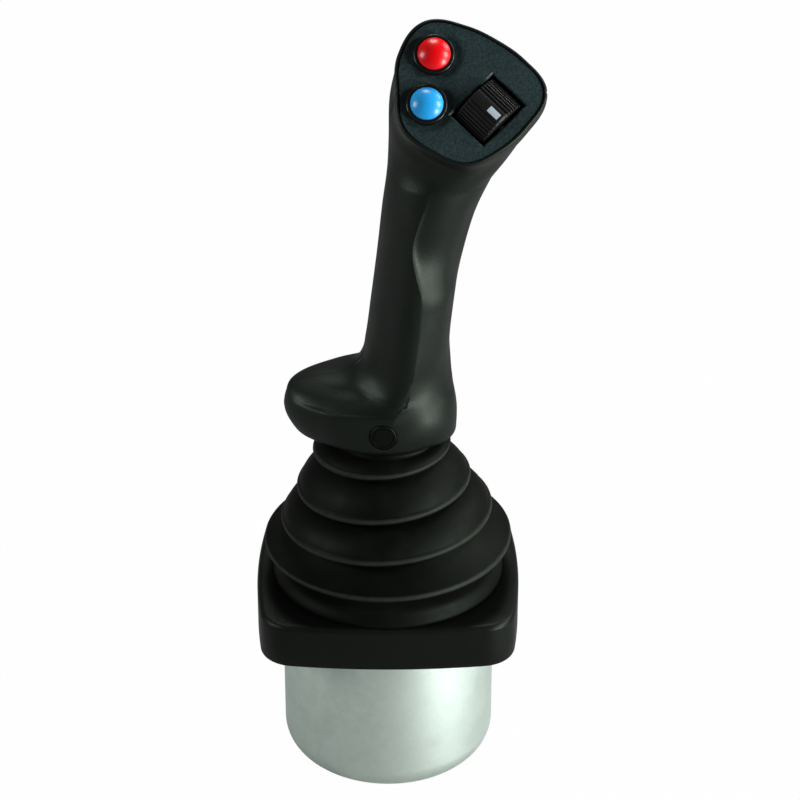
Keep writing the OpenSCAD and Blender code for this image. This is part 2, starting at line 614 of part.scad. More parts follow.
// Two screws run from the rear shell into bosses in the front shell, on the sections' centres.
SCREW_HEIGHTS = [98, 138];
shell_screw_r = 1.5;
boss_wall = 2;
screw_head_r = 2.8;
screw_head_h = 2;
head_sink = 3;                   // depth of a screw head below the rear shell's surface
function front_y(h) = radius(section(h), 270);
function back_y(h) = radius(section(h), 90);
module front_bosses() {
    for (h = SCREW_HEIGHTS) let (v = section(h), reach = front_y(h) - shell_wall / 2)
        translate([v[1], v[2] - seam_gap / 2, bezel_h + h]) rotate([90, 0, 0]) difference() {
            cylinder(h = reach, r = shell_screw_r + boss_wall);
            translate([0, 0, -eps]) cylinder(h = reach - shell_wall, r = shell_screw_r);
        }
}
module rear_bosses() {
    for (h = SCREW_HEIGHTS) let (v = section(h), reach = back_y(h) - shell_wall / 2)
        translate([v[1], v[2] + seam_gap / 2, bezel_h + h]) rotate([-90, 0, 0])
            cylinder(h = reach, r = screw_head_r + boss_wall - 0.4);
}
module rear_holes() {
    for (h = SCREW_HEIGHTS) let (v = section(h), seat = back_y(h) - head_sink - screw_head_h)
        translate([v[1], v[2], bezel_h + h]) rotate([-90, 0, 0]) {
            cylinder(h = 40, r = shell_screw_r + seat_clear);
            translate([0, 0, seat]) cylinder(h = 40, r = screw_head_r + seat_clear);
        }
}
module shell_screws() {
    color("#8a8f92") for (h = SCREW_HEIGHTS)
        let (v = section(h), seat = back_y(h) - head_sink - screw_head_h,
             length = seat + front_y(h) - 2 * shell_wall)
        translate([v[1], v[2] + seat, bezel_h + h]) rotate([-90, 0, 0])
            pan_screw(shell_screw_r, length, screw_head_h, screw_head_r);
}

clamp_r = 11;
plug_turn = -4;                  // the plug sits a little left of the front
plug_z = bezel_h + 63;
plug_r = 4.5;
plug_h = 3;
plug_face = 20.1;                // distance of the plug's face from the shaft's axis
module at_plug(r) {
    translate([0, 0, plug_z]) rotate([90, 0, plug_turn]) translate([0, 0, r]) children();
}
module grip_front_shell() {
    color("#232728") difference() {
        union() {
            grip_shell(180, -seam_gap / 2);
            front_bosses();
        }
        at_plug(plug_face - plug_h) cylinder(h = 20, r = plug_r + run_clear);
    }
}
module grip_rear_shell() {
    color("#1f2324") difference() {
        union() {
            grip_shell(0, seam_gap / 2);
            rear_bosses();
        }
        rear_holes();
    }
}

// Aluminium clamp that ties the shells to the shaft.
clamp_top = shaft_top - 1;
module grip_clamp() {
    color("#9aa0a3") difference() {
        translate([0, 0, bezel_h + grip_bottom + floor_t + 0.2])
            cylinder(h = clamp_top - bezel_h - grip_bottom - floor_t, r = clamp_r);
        cylinder(h = 200, r = shaft_r + eps);
        at_plug(0) cylinder(h = 30, r = clamp_screw_r);
    }
}
clamp_screw_r = 2.5;
module clamp_screw() {
    length = clamp_r - shaft_r - 1;
    color("#404548") at_plug(shaft_r + eps) difference() {
        cylinder(h = length, r = clamp_screw_r);
        translate([0, 0, length - 2.5]) cylinder(h = 5, r = 1.4, $fn = 6);
    }
}
module clamp_plug() {
    color("#202425") at_plug(plug_face - plug_h) cylinder(h = plug_h, r = plug_r);
}

// ---- face plate and controls -----------------------------------------------------------
module face_outline(inset) {
    v = section(top_s);
    polygon([for (a = [0 : 180 / half_steps : 359]) let (r = radius(v, a) - inset)
        [v[1] + r * cos(a), v[2] - bend_y - face_y + r * sin(a)]]);
}
// Heights below are counted from the face plate's upper side.
switch_r = collar_r - 0.3;       // the housing's body where it passes the face plate
switch_low_r = 5;                // and below it
switch_depth = 10.5;
cap_clear = 0.08;
stem_r = 1.8;
stem_l = 4.5;
cap_low = collar_h - 0.8;        // lower edge of the cap's skirt
bore_low = cap_low - button_travel - 0.2;
well_r = 3.6;                    // well for the return spring
well_low = -9;
module face_plate() {
    color("#2f3b40") at_face(0, 0, -face_t) difference() {
        linear_extrude(face_t - face_drop) difference() {
            face_outline(rim_w + seat_clear);
            translate(roller_at) rotate(roller_turn) square(opening, center = true);
            for (p = [red_at, blue_at]) translate(p) circle(r = switch_r + run_clear);
        }
    }
}
module button_housing(at) {
    at_face(at[0], at[1], -face_drop) rotate_extrude() polygon([
        [0, -switch_depth], [switch_low_r, -switch_depth], [switch_low_r, face_drop - face_t],
        [switch_r, face_drop - face_t], [switch_r, 0], [collar_r, 0], [collar_r, collar_h - 0.5],
        [collar_r - 0.5, collar_h], [button_r + cap_clear, collar_h],
        [button_r + cap_clear, bore_low], [well_r, bore_low], [well_r, well_low], [0, well_low]]);
}
module red_button_housing() { color("#151718") button_housing(red_at); }
module blue_button_housing() { color("#151718") button_housing(blue_at); }
// A domed cap: a skirt, a dome that is part of a sphere, and a stem inside the spring.
dome_h = 2.6;
module button_cap(at) {
    sphere_r = (button_r * button_r + dome_h * dome_h) / (2 * dome_h);
    skirt_top = collar_h + 0.4;
    at_face(at[0], at[1], -face_drop) {
        translate([0, 0, cap_low - stem_l]) cylinder(h = stem_l + eps, r = stem_r);
        translate([0, 0, cap_low]) cylinder(h = skirt_top - cap_low, r = button_r);
        translate([0, 0, skirt_top]) intersection() {
            translate([0, 0, dome_h - sphere_r]) sphere(r = sphere_r);
            translate([0, 0, -eps]) cylinder(h = dome_h + 1, r = button_r);
        }
    }
}
module red_button_cap() { color("#e0141e") button_cap(red_at); }
module blue_button_cap() { color("#2f8ff0") button_cap(blue_at); }
button_wire = 0.5;
module button_spring(at) {
    coils = 5;
    at_face(at[0], at[1], -face_drop + well_low + button_wire / 2 + run_clear)
        wire_coil(well_r - button_wire, button_wire,
                  (cap_low - well_low - button_wire - 2 * run_clear) / coils, coils);
}
module red_button_spring() { color("#c8ccce") button_spring(red_at); }
module blue_button_spring() { color("#c8ccce") button_spring(blue_at); }

// The roller turns on an axle in a cradle under the face plate; its torsion spring lies
// beside it.
axle_r = 1.6;
cradle_wall = 1.2;
side_gap = 1.1;                  // between the roller and each side of its cradle
roller_wire = 0.4;
cradle_in = roller_w + 2 * side_gap;
cradle_gap = 0.3;                // between the roller and the cradle's bridge
module roller_cradle() {
    top = roller_depth - face_t;
    bottom = -roller_r - cradle_gap;
    color("#17191a") at_roller(-roller_depth) difference() {
        rotate([90, 0, 90]) linear_extrude(cradle_in + 2 * cradle_wall, center = true) polygon([
            [-4.5, top], [-4.5, 0], [-2.5, bottom - cradle_wall], [2.5, bottom - cradle_wall],
            [4.5, 0], [4.5, top]]);
        translate([0, 0, bottom]) linear_extrude(40) square([cradle_in, 20], center = true);
        rotate([0, 90, 0]) cylinder(h = 40, r = axle_r, center = true);
    }
}
module roller_axle() {
    color("#c8ccce") at_roller(-roller_depth) rotate([0, 90, 0])
        cylinder(h = cradle_in + 2 * cradle_wall, r = axle_r, center = true);
}
roller_ribs = 48;
rib_h = 0.5;
land_half = 11.5;                // half angle of the plain land in the middle of its travel
module thumb_roller() {
    color("#0e0f10") at_roller(-roller_depth) rotate([0, 90, 0]) difference() {
        linear_extrude(roller_w, center = true) polygon(
            [for (i = [0 : roller_ribs - 1], q = [0 : 3])
                let (a = 360 / roller_ribs * (i + q / 4), land = abs(a - 180) < land_half,
                     r = q < 2 || land ? roller_r : roller_r - rib_h)
                [r * cos(a), r * sin(a)]]);
        cylinder(h = 40, r = axle_r + run_clear, center = true);
    }
}
module roller_spring() {
    pitch = side_gap - roller_wire - 2 * run_clear;
    color("#c8ccce") at_roller(-roller_depth) rotate([0, 90, 0])
        translate([0, 0, roller_w / 2 + run_clear + roller_wire / 2])
            wire_coil(axle_r + 0.2 + roller_wire / 2, roller_wire, pitch, 1);
}

bezel();
bezel_screws();
mounting_plate();
can();
cable_grommet();
gimbal_body();
body_screws();
yoke_pins();
pitch_springs();
sensor_board();
board_posts();
hall_sensor();
bellows();
gimbal_yoke();
yoke_bushes();
lever_bushes();
roll_springs();
lever_hub();
lever_pin();
lever_shaft();
sensor_tail();
sensor_magnet();
bellows_collar();
grip_clamp();
clamp_screw();
clamp_plug();
grip_front_shell();
grip_rear_shell();
shell_screws();
face_plate();
red_button_housing();
blue_button_housing();
red_button_cap();
blue_button_cap();
red_button_spring();
blue_button_spring();
roller_cradle();
roller_axle();
roller_spring();
thumb_roller();
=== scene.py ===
# %% [markdown]
# # A panel-mounted joystick
# A moulded grip stands on a spring-centred lever. A rubber bellows closes the gap to a
# square bezel, and a deep-drawn can hangs below the panel. The construction comes in as
# a fixed frame, one mesh per piece and one empty per moving body. This lesson gives the
# pieces that can be seen their final shapes and finishes.

# %% Load the frame
import json
import math

import bmesh
import bpy
import numpy as np
from mathutils import Matrix, Vector
from mathutils.geometry import delaunay_2d_cdt


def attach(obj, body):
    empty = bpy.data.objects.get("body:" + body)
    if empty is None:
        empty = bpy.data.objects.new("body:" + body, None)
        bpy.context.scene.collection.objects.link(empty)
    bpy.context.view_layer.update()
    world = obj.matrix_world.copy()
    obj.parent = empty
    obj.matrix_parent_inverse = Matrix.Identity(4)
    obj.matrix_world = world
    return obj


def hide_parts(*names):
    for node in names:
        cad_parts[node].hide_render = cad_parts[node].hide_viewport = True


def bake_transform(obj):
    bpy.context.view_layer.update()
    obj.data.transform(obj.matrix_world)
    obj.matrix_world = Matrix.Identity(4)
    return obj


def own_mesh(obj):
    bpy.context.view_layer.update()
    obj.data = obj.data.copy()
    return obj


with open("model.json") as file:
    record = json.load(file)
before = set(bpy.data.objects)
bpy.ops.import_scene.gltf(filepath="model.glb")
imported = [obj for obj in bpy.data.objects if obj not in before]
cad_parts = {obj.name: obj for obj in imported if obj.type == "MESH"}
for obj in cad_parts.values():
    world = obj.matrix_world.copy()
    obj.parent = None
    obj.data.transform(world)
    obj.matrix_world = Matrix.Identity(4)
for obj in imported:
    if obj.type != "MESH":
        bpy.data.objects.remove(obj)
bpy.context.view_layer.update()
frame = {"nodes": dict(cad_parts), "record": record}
MM = 0.001

# %% [markdown]
# ## Camera
# A long lens from almost a metre away keeps the lever's sides nearly parallel. The camera
# looks down by 29.5 degrees, enough to show the face plate and the folds of the bellows.

# %% Camera
CAMERA_PLACE = (4.2, -795.9, 532.5)
CAMERA_DOWN = 29.5
CAMERA_LENS, SENSOR_WIDTH = 121.9, 36

camera_data = bpy.data.cameras.new("camera")
camera_data.lens = CAMERA_LENS
camera_data.sensor_width = SENSOR_WIDTH
camera = bpy.data.objects.new("camera", camera_data)
camera.location = Vector(CAMERA_PLACE) * MM
camera.rotation_euler = (math.radians(90 - CAMERA_DOWN), 0, 0)
bpy.context.scene.collection.objects.link(camera)
bpy.context.scene.camera = camera
bpy.context.scene.view_settings.view_transform = "Standard"
print("camera looks down by", CAMERA_DOWN, "degrees")

# %% [markdown]
# ## Shader maths
# A node tree is easier to read as a formula. Link wraps a socket and overloads the
# operators that are used, so a + b adds a Math node. Nodes holds a tree and adds every
# other node through a single method, and Finish is the tree of one material.


# %% Shader maths
DARK_TINT = (0.84, 1, 0.86, 1)


class Link:
    """An output socket that can stand in a Python expression."""

    def __init__(self, nodes, socket):
        self.nodes, self.socket = nodes, socket

    def maths(self, operation, other):
        return self.nodes.node("ShaderNodeMath", {"operation": operation}, self, other)

    def __add__(self, other):
        return self.maths("ADD", other)

    def __mul__(self, other):
        return self.maths("MULTIPLY", other)

    __radd__ = __add__
    __rmul__ = __mul__

    def step(self, low, high):
        """0 below low, 1 above high, and smooth between them."""
        ramp = {"interpolation_type": "SMOOTHSTEP"}
        return self.nodes.node("ShaderNodeMapRange", ramp, self, low, high, 0.0, 1.0)


class Nodes:
    """A shader tree."""

    def __init__(self, tree):
        self.tree = tree

    def node(self, kind, settings=None, *values, out=0, **named):
        """Adds a node: its settings, then its sockets by place or by name."""
        node = self.tree.nodes.new(kind)
        for key, value in (settings or {}).items():
            setattr(node, key, value)
        for key, value in [*enumerate(values), *named.items()]:
            socket = node.inputs[key if isinstance(key, int) else key.replace("_", " ")]
            if isinstance(value, Link):
                self.tree.links.new(value.socket, socket)
            elif value is not None:
                socket.default_value = value
        return Link(self, node.outputs[out])

    def ray(self, kind):
        """1 for one kind of ray, else 0."""
        return self.node("ShaderNodeLightPath", out=f"Is {kind} Ray")


class Finish(Nodes):
    """A material with a Principled shader, built node by node."""

    def __init__(self, name, colour, roughness, metallic=0.0):
        self.material = bpy.data.materials.new(name)
        self.material.use_nodes = True
        super().__init__(self.material.node_tree)
        self.shader = self.tree.nodes["Principled BSDF"]
        self.shader.inputs["Base Color"].default_value = (*colour, 1)
        self.shader.inputs["Roughness"].default_value = roughness
        self.shader.inputs["Metallic"].default_value = metallic
        self.place = self.node("ShaderNodeTexCoord", out="Object")

    def sheen(self, level):
        """Sets how strong the mirror light is; its tint is that of dark plastic and rubber."""
        self.shader.inputs["Specular IOR Level"].default_value = level
        self.shader.inputs["Specular Tint"].default_value = DARK_TINT

    def noise(self, scale, detail=2.0, roughness=0.5, stretch=None):
        """Fine noise: scale counts cells per metre."""
        place = self.place
        if stretch:
            place = self.node("ShaderNodeVectorMath", {"operation": "MULTIPLY"}, place, stretch)
        return self.node(
            "ShaderNodeTexNoise", Vector=place, Scale=scale, Detail=detail, Roughness=roughness
        )

    def grain(self, scale):
        """Rounded cells, as spark erosion leaves in a mould."""
        return self.node(
            "ShaderNodeTexVoronoi", {"feature": "SMOOTH_F1"}, Vector=self.place, Scale=scale
        )

    def mix(self, factor, low, high):
        """A colour between two colours. Sockets 1 to 5 are for numbers and vectors."""
        low, high = (c if isinstance(c, Link) else (*c, 1) for c in (low, high))
        unused = [None] * 5
        return self.node(
            "ShaderNodeMix", {"data_type": "RGBA"}, factor, *unused, low, high, out=2)

    def feed(self, socket, value):
        self.tree.links.new(value.socket, self.shader.inputs[socket])
        return self

    def bump(self, height, strength, distance):
        """Raises the surface by height times distance, in metres."""
        bump = self.node(
            "ShaderNodeBump", None, Strength=strength, Distance=distance, Height=height
        )
        return self.feed("Normal", bump)


def srgb(r, g, b):
    """A colour given as it looks on a screen, 0 to 255, as the shader needs it."""
    return tuple(
        c / 12.92 if c <= 0.04045 else ((c + 0.055) / 1.055) ** 2.4
        for c in (r / 255, g / 255, b / 255)
    )


print("shader helpers are ready")

# %% [markdown]
# ## Moulded plastics
# The grip and the bezel are black plastic from a spark-eroded mould: matt, with rounded
# grain about 0.4 millimetres wide. The face plate's grain is coarser, and the plug is
# darker and duller than the grip. The grain drives the bump, and a broad, faint cloud
# moves the roughness, so that the highlights break up as they do by touch.


# %% Moulded plastics
def moulded(name, colour, roughness, shine, grain=2600, depth=0.00004, lift=1.25):
    """Textured plastic: grain counts cells per metre, and depth is the bump in metres."""
    finish = Finish(name, colour, roughness)
    finish.sheen(shine)
    cells = finish.grain(grain)
    cloud = finish.noise(90, 3)
    lighter = tuple(c * lift + 0.001 for c in colour)
    finish.feed("Base Color", finish.mix(cells.step(0.1, 0.7), colour, lighter))
    finish.feed("Roughness", cloud.step(0.3, 0.7) * 0.07 + (roughness - 0.035))
    return finish.bump(cells + finish.noise(grain * 2.2) * 0.6, 0.7, depth)


grip_plastic = moulded("grip plastic", srgb(6, 10, 7), 0.47, 0.34)
plug_plastic = moulded("plug plastic", srgb(3, 4, 3), 0.5, 0.16)
bezel_plastic = moulded("bezel plastic", srgb(7, 9, 6), 0.43, 0.22, depth=0.00003)
face_plastic = moulded(
    "face plate plastic", srgb(26, 39, 41), 0.5, 0.4, grain=1500, depth=0.00012, lift=2.2
)
print("moulded plastics:", grip_plastic.material.name, face_plastic.material.name)

# %% [markdown]
# ## Gloss plastics
# The button caps, their collars and the roller come from smoother moulds. Their gloss is
# soft, without a clear coat, and has a faint cloudiness that a thumb leaves behind.


# %% Gloss plastics
def glossy(name, colour, roughness):
    """Smooth plastic whose roughness wanders a little."""
    finish = Finish(name, colour, roughness)
    touch = finish.noise(260, 4)
    finish.feed("Roughness", touch.step(0.35, 0.75) * 0.04 + roughness)
    return finish.bump(finish.noise(900), 0.15, 0.00002)


red_plastic = glossy("red cap plastic", srgb(250, 2, 16), 0.28)
blue_plastic = glossy("blue cap plastic", srgb(40, 178, 255), 0.28)
collar_plastic = glossy("collar plastic", srgb(7, 8, 8), 0.3)
roller_plastic = glossy("roller plastic", srgb(9, 10, 11), 0.42)
mark_paint = glossy("index mark paint", srgb(196, 212, 222), 0.5)
sensor_black = glossy("sensor moulding", srgb(20, 21, 23), 0.4)
print("gloss plastics:", red_plastic.material.name, blue_plastic.material.name)

# %% [markdown]
# ## Rubber
# The bellows is moulded rubber. It is dull black, and bloom and dust lie in soft patches.
# A number that the bellows' own mesh carries at each point tells where a pale highlight is
# painted along the rounded edges of its lips.


# %% Rubber
def rubbery(name, colour, roughness, shine=0.35, highlight_colour=None):
    """Dull rubber: the last colour is a highlight, painted where the piece's mark for it is 1."""
    finish = Finish(name, colour, roughness)
    finish.sheen(shine)
    bloom = finish.noise(140, 5, 0.6)
    dusty = tuple(c * 1.4 + 0.001 for c in colour)
    skin = finish.mix(bloom.step(0.45, 0.8), colour, dusty)
    if highlight_colour:
        # A pale highlight is painted along the lips, patchy with noise.
        lip_highlight = finish.node("ShaderNodeAttribute", {"attribute_name": "lip_highlight"}, out="Fac")
        highlight_strength = finish.noise(320, 3).step(0.2, 0.6) * 0.35 + 0.65
        skin = finish.mix(lip_highlight * highlight_strength, skin, highlight_colour)
    finish.feed("Base Color", skin)
    finish.feed("Roughness", bloom.step(0.3, 0.8) * 0.12 + (roughness - 0.06))
    return finish.bump(finish.noise(2400, 3), 0.5, 0.00003)


# The last colour is the highlight painted along the bellows' lips.
bellows_rubber = rubbery("bellows rubber", srgb(5, 6, 4), 0.58, 0.13, srgb(46, 50, 45))
rubber = rubbery("grommet rubber", srgb(24, 24, 24), 0.6)
print("rubber:", bellows_rubber.material.name)

# %% [markdown]
# ## Metals
# The can is zinc-plated sheet: pale, cloudy and softly reflective. A cloud mottles its
# colour and its roughness, and a fine grain breaks up its surface. The other metals are
# hidden inside, and take a machined or a cast surface from the same recipe.


# %% Metals
def metal(name, colour, roughness, mottle=0.08, grain=700, depth=0.00001, stretch=None):
    """Metal: mottle is how far the roughness wanders, and stretch draws the grain out."""
    finish = Finish(name, colour, roughness, metallic=1.0)
    cloud = finish.noise(70, 5, 0.65)
    dull = tuple(c * 0.86 for c in colour)
    finish.feed("Base Color", finish.mix(cloud.step(0.35, 0.7), colour, dull))
    finish.feed("Roughness", cloud.step(0.3, 0.75) * mottle + roughness)
    return finish.bump(finish.noise(grain, 4, 0.6, stretch), 0.4, depth)


zinc_can = metal("zinc-plated can", srgb(240, 255, 246), 0.46, 0.14, 500, 0.00003)
zinc_plate = metal("zinc-plated plate", srgb(182, 188, 188), 0.4)
zinc_screw = metal("zinc-plated screw", srgb(190, 194, 196), 0.32)
cast_aluminium = metal("cast aluminium", srgb(150, 154, 156), 0.55, 0.1, 1600, 0.00006)
clamp_aluminium = metal("turned aluminium", srgb(176, 180, 182), 0.36, stretch=(1, 1, 30))
steel_pin = metal("ground steel", srgb(196, 200, 202), 0.24)
spring_steel = metal("spring steel", srgb(178, 182, 186), 0.3)
bronze = metal("sintered bronze", srgb(186, 146, 84), 0.45, 0.12, 3000, 0.00003)
magnet = metal("nickel-plated magnet", srgb(186, 186, 180), 0.25)
black_screw = metal("blackened screw", srgb(52, 54, 56), 0.42)
print("metals: 10 finishes")

# %% [markdown]
# ## Circuit board
# Green lacquer lies over copper tracks. The joints of a brick pattern stand in for them.

# %% Circuit board
circuit_board = Finish("circuit board", srgb(24, 84, 52), 0.35)
tracks = circuit_board.node(
    "ShaderNodeTexBrick",
    {"offset": 0.5},
    Vector=circuit_board.place,
    Scale=90.0,
    Mortar_Size=0.02,
    out="Fac",
)
lacquer = circuit_board.mix(tracks, srgb(20, 78, 46), srgb(44, 112, 68))
circuit_board.feed("Base Color", lacquer).bump(tracks, 0.4, 0.00003)
print("circuit board tracks are drawn")

# %% [markdown]
# ## Dress the frame
# Every piece of the frame takes the finish of its material slot. Pieces that are made
# below bring their own finish with them.

# %% Dress the frame
FINISHES = {
    "bezel_plastic": bezel_plastic,
    "zinc_screw": zinc_screw,
    "zinc_plate": zinc_plate,
    "zinc_can": zinc_can,
    "rubber": rubber,
    "cast_aluminium": cast_aluminium,
    "steel_pin": steel_pin,
    "spring_steel": spring_steel,
    "circuit_board": circuit_board,
    "sensor_black": sensor_black,
    "bellows_rubber": bellows_rubber,
    "bronze": bronze,
    "magnet": magnet,
    "clamp_aluminium": clamp_aluminium,
    "black_screw": black_screw,
    "grip_plastic": grip_plastic,
    "face_plastic": face_plastic,
    "collar_plastic": collar_plastic,
    "red_plastic": red_plastic,
    "blue_plastic": blue_plastic,
    "roller_plastic": roller_plastic,
}
for part in frame["record"]["subparts"]:
    mesh = frame["nodes"][part["node"]].data
    mesh.materials.clear()
    mesh.materials.append(FINISHES[part["material_slot"]].material)
print("dressed", len(frame["nodes"]), "nodes in", len(FINISHES), "finishes")

# %% [markdown]
# ## Making a piece
# Every finished piece is a plain mesh at the origin, in metres, that stands for the frame's
# own solid; every one but the bellows rides on one body. The helpers here make a mesh from
# points in millimetres, join rings of points by faces, and cut one piece with another. The
# angle between two faces tells whether the edge between them looks sharp or smooth.

# %% Making a piece
SHARP = math.radians(35)


def finish_piece(obj, body, replaced, finish, sharp=SHARP):
    """Shades a piece, gives it its finish, and hangs it on a body of the frame."""
    obj.data.shade_smooth()
    obj.data.set_sharp_from_angle(angle=sharp)
    obj.data.materials.clear()
    obj.data.materials.append(finish.material)
    if body:
        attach(obj, body)
    if replaced:
        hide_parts(*replaced)


def new_object(name, points, faces):
    """A mesh object from points in millimetres."""
    mesh = bpy.data.meshes.new(name)
    mesh.from_pydata((np.asarray(points, float) * MM).tolist(), [], faces)
    mesh.update()
    obj = bpy.data.objects.new(name, mesh)
    bpy.context.scene.collection.objects.link(obj)
    return obj


def tidy_normals(obj, merge=1e-6):
    """Merges doubled points and turns every face outwards."""
    work = bmesh.new()
    work.from_mesh(obj.data)
    bmesh.ops.remove_doubles(work, verts=work.verts, dist=merge)
    bmesh.ops.dissolve_degenerate(work, edges=work.edges, dist=merge)
    bmesh.ops.recalc_face_normals(work, faces=work.faces)
    work.to_mesh(obj.data)
    work.free()
    return obj


def baked(obj):
    """Turns an object with live modifiers into a plain mesh of the same name."""
    graph = bpy.context.evaluated_depsgraph_get()
    mesh = bpy.data.meshes.new_from_object(obj.evaluated_get(graph))
    name = obj.name
    bpy.data.objects.remove(obj)
    plain = bpy.data.objects.new(name, mesh)
    bpy.context.scene.collection.objects.link(plain)
    mesh.name = name
    return plain


def cut(obj, *tools):
    """Cuts closed tools out of a closed piece."""
    for tool in tools:
        modifier = obj.modifiers.new("cut", "BOOLEAN")
        modifier.operation, modifier.solver, modifier.object = "DIFFERENCE", "EXACT", tool
    plain = baked(obj)
    for tool in tools:
        bpy.data.objects.remove(tool)
    return plain


def loop_faces(rings, count):
    """Quads between closed rings of count points each."""
    return [
        (r * count + i, r * count + (i + 1) % count,
         (r + 1) * count + (i + 1) % count, (r + 1) * count + i)
        for r in range(rings - 1)
        for i in range(count)
    ]


def capped_faces(rings, count):
    """The quads between rings, and one face over each end."""
    last = (rings - 1) * count
    ends = [tuple(range(count)), tuple(range(last + count - 1, last - 1, -1))]
    return loop_faces(rings, count) + ends


print("mesh helpers are ready")

# %% [markdown]
# ## Turned shapes by Geometry Nodes
# Collars, caps, the can and the bellows are all a profile turned about an axis. One node
# tree does it: the profile is a flat, closed curve, a circle is the path, and Curve to
# Mesh carries the one along the other. Points on the axis fall together, so a Merge by
# Distance closes the pole.


# %% Turned shapes
PATH_R = 1.0


def turning_tree():
    """The node tree that carries a closed profile round a circle."""
    tree = bpy.data.node_groups.new("turn a profile", "GeometryNodeTree")
    face = tree.interface
    face.new_socket("Profile", in_out="INPUT", socket_type="NodeSocketGeometry")
    face.new_socket("Steps around", in_out="INPUT", socket_type="NodeSocketInt")
    face.new_socket("Finish", in_out="INPUT", socket_type="NodeSocketMaterial")
    face.new_socket("Piece", in_out="OUTPUT", socket_type="NodeSocketGeometry")
    new, join = tree.nodes.new, tree.links.new
    source, result = new("NodeGroupInput"), new("NodeGroupOutput")
    circle = new("GeometryNodeCurvePrimitiveCircle")
    circle.inputs["Radius"].default_value = PATH_R
    sweep = new("GeometryNodeCurveToMesh")
    merge = new("GeometryNodeMergeByDistance")
    merge.inputs["Distance"].default_value = 1e-6
    whole, paint = new("GeometryNodeRealizeInstances"), new("GeometryNodeSetMaterial")
    join(source.outputs["Steps around"], circle.inputs["Resolution"])
    join(circle.outputs["Curve"], sweep.inputs["Curve"])
    join(source.outputs["Profile"], sweep.inputs["Profile Curve"])
    join(sweep.outputs["Mesh"], merge.inputs["Geometry"])
    join(merge.outputs["Geometry"], whole.inputs["Geometry"])
    join(whole.outputs["Geometry"], paint.inputs["Geometry"])
    join(source.outputs["Finish"], paint.inputs["Material"])
    join(paint.outputs["Geometry"], result.inputs["Piece"])
    return tree


TURN = turning_tree()


def set_input(modifier, name, value):
    """Sets an input of a node modifier by the name of its socket."""
    for item in modifier.node_group.interface.items_tree:
        if item.name == name and item.in_out == "INPUT":
            modifier[item.identifier] = value


def turned(name, profile, finish, steps=96, frame_at=None):
    """Turns (radius, height) points in mm about Z, then places the piece by a matrix."""
    curve = bpy.data.curves.new(name, "CURVE")
    curve.dimensions = "3D"
    spline = curve.splines.new("POLY")
    spline.points.add(len(profile) - 1)
    for point, (r, z) in zip(spline.points, profile):
        point.co = (max(r, 0) * MM - PATH_R, -z * MM, 0, 1)
    spline.use_cyclic_u = True
    obj = bpy.data.objects.new(name, curve)
    bpy.context.scene.collection.objects.link(obj)
    modifier = obj.modifiers.new("turn", "NODES")
    modifier.node_group = TURN
    set_input(modifier, "Steps around", steps)
    set_input(modifier, "Finish", finish.material)
    plain = tidy_normals(baked(obj))
    if frame_at is not None:
        plain.data.transform(frame_at)
    return plain


print("turning tree:", len(TURN.nodes), "nodes")

# %% [markdown]
# ## The grip's loft
# The grip is drawn as eighteen sections up its height. Each section holds its height,
# its centre, the angle of the ridge between palm and fingers, the depth of the finger
# scoop behind that ridge, and twelve radii. Above BEND_S the sections fan forward until
# they lie in the face plate's plane, 50 degrees from the horizontal. Four soft waves, each
# with a column, a height, a half width and a size, make the ridge swing and change the
# scoop's depth between the stations.

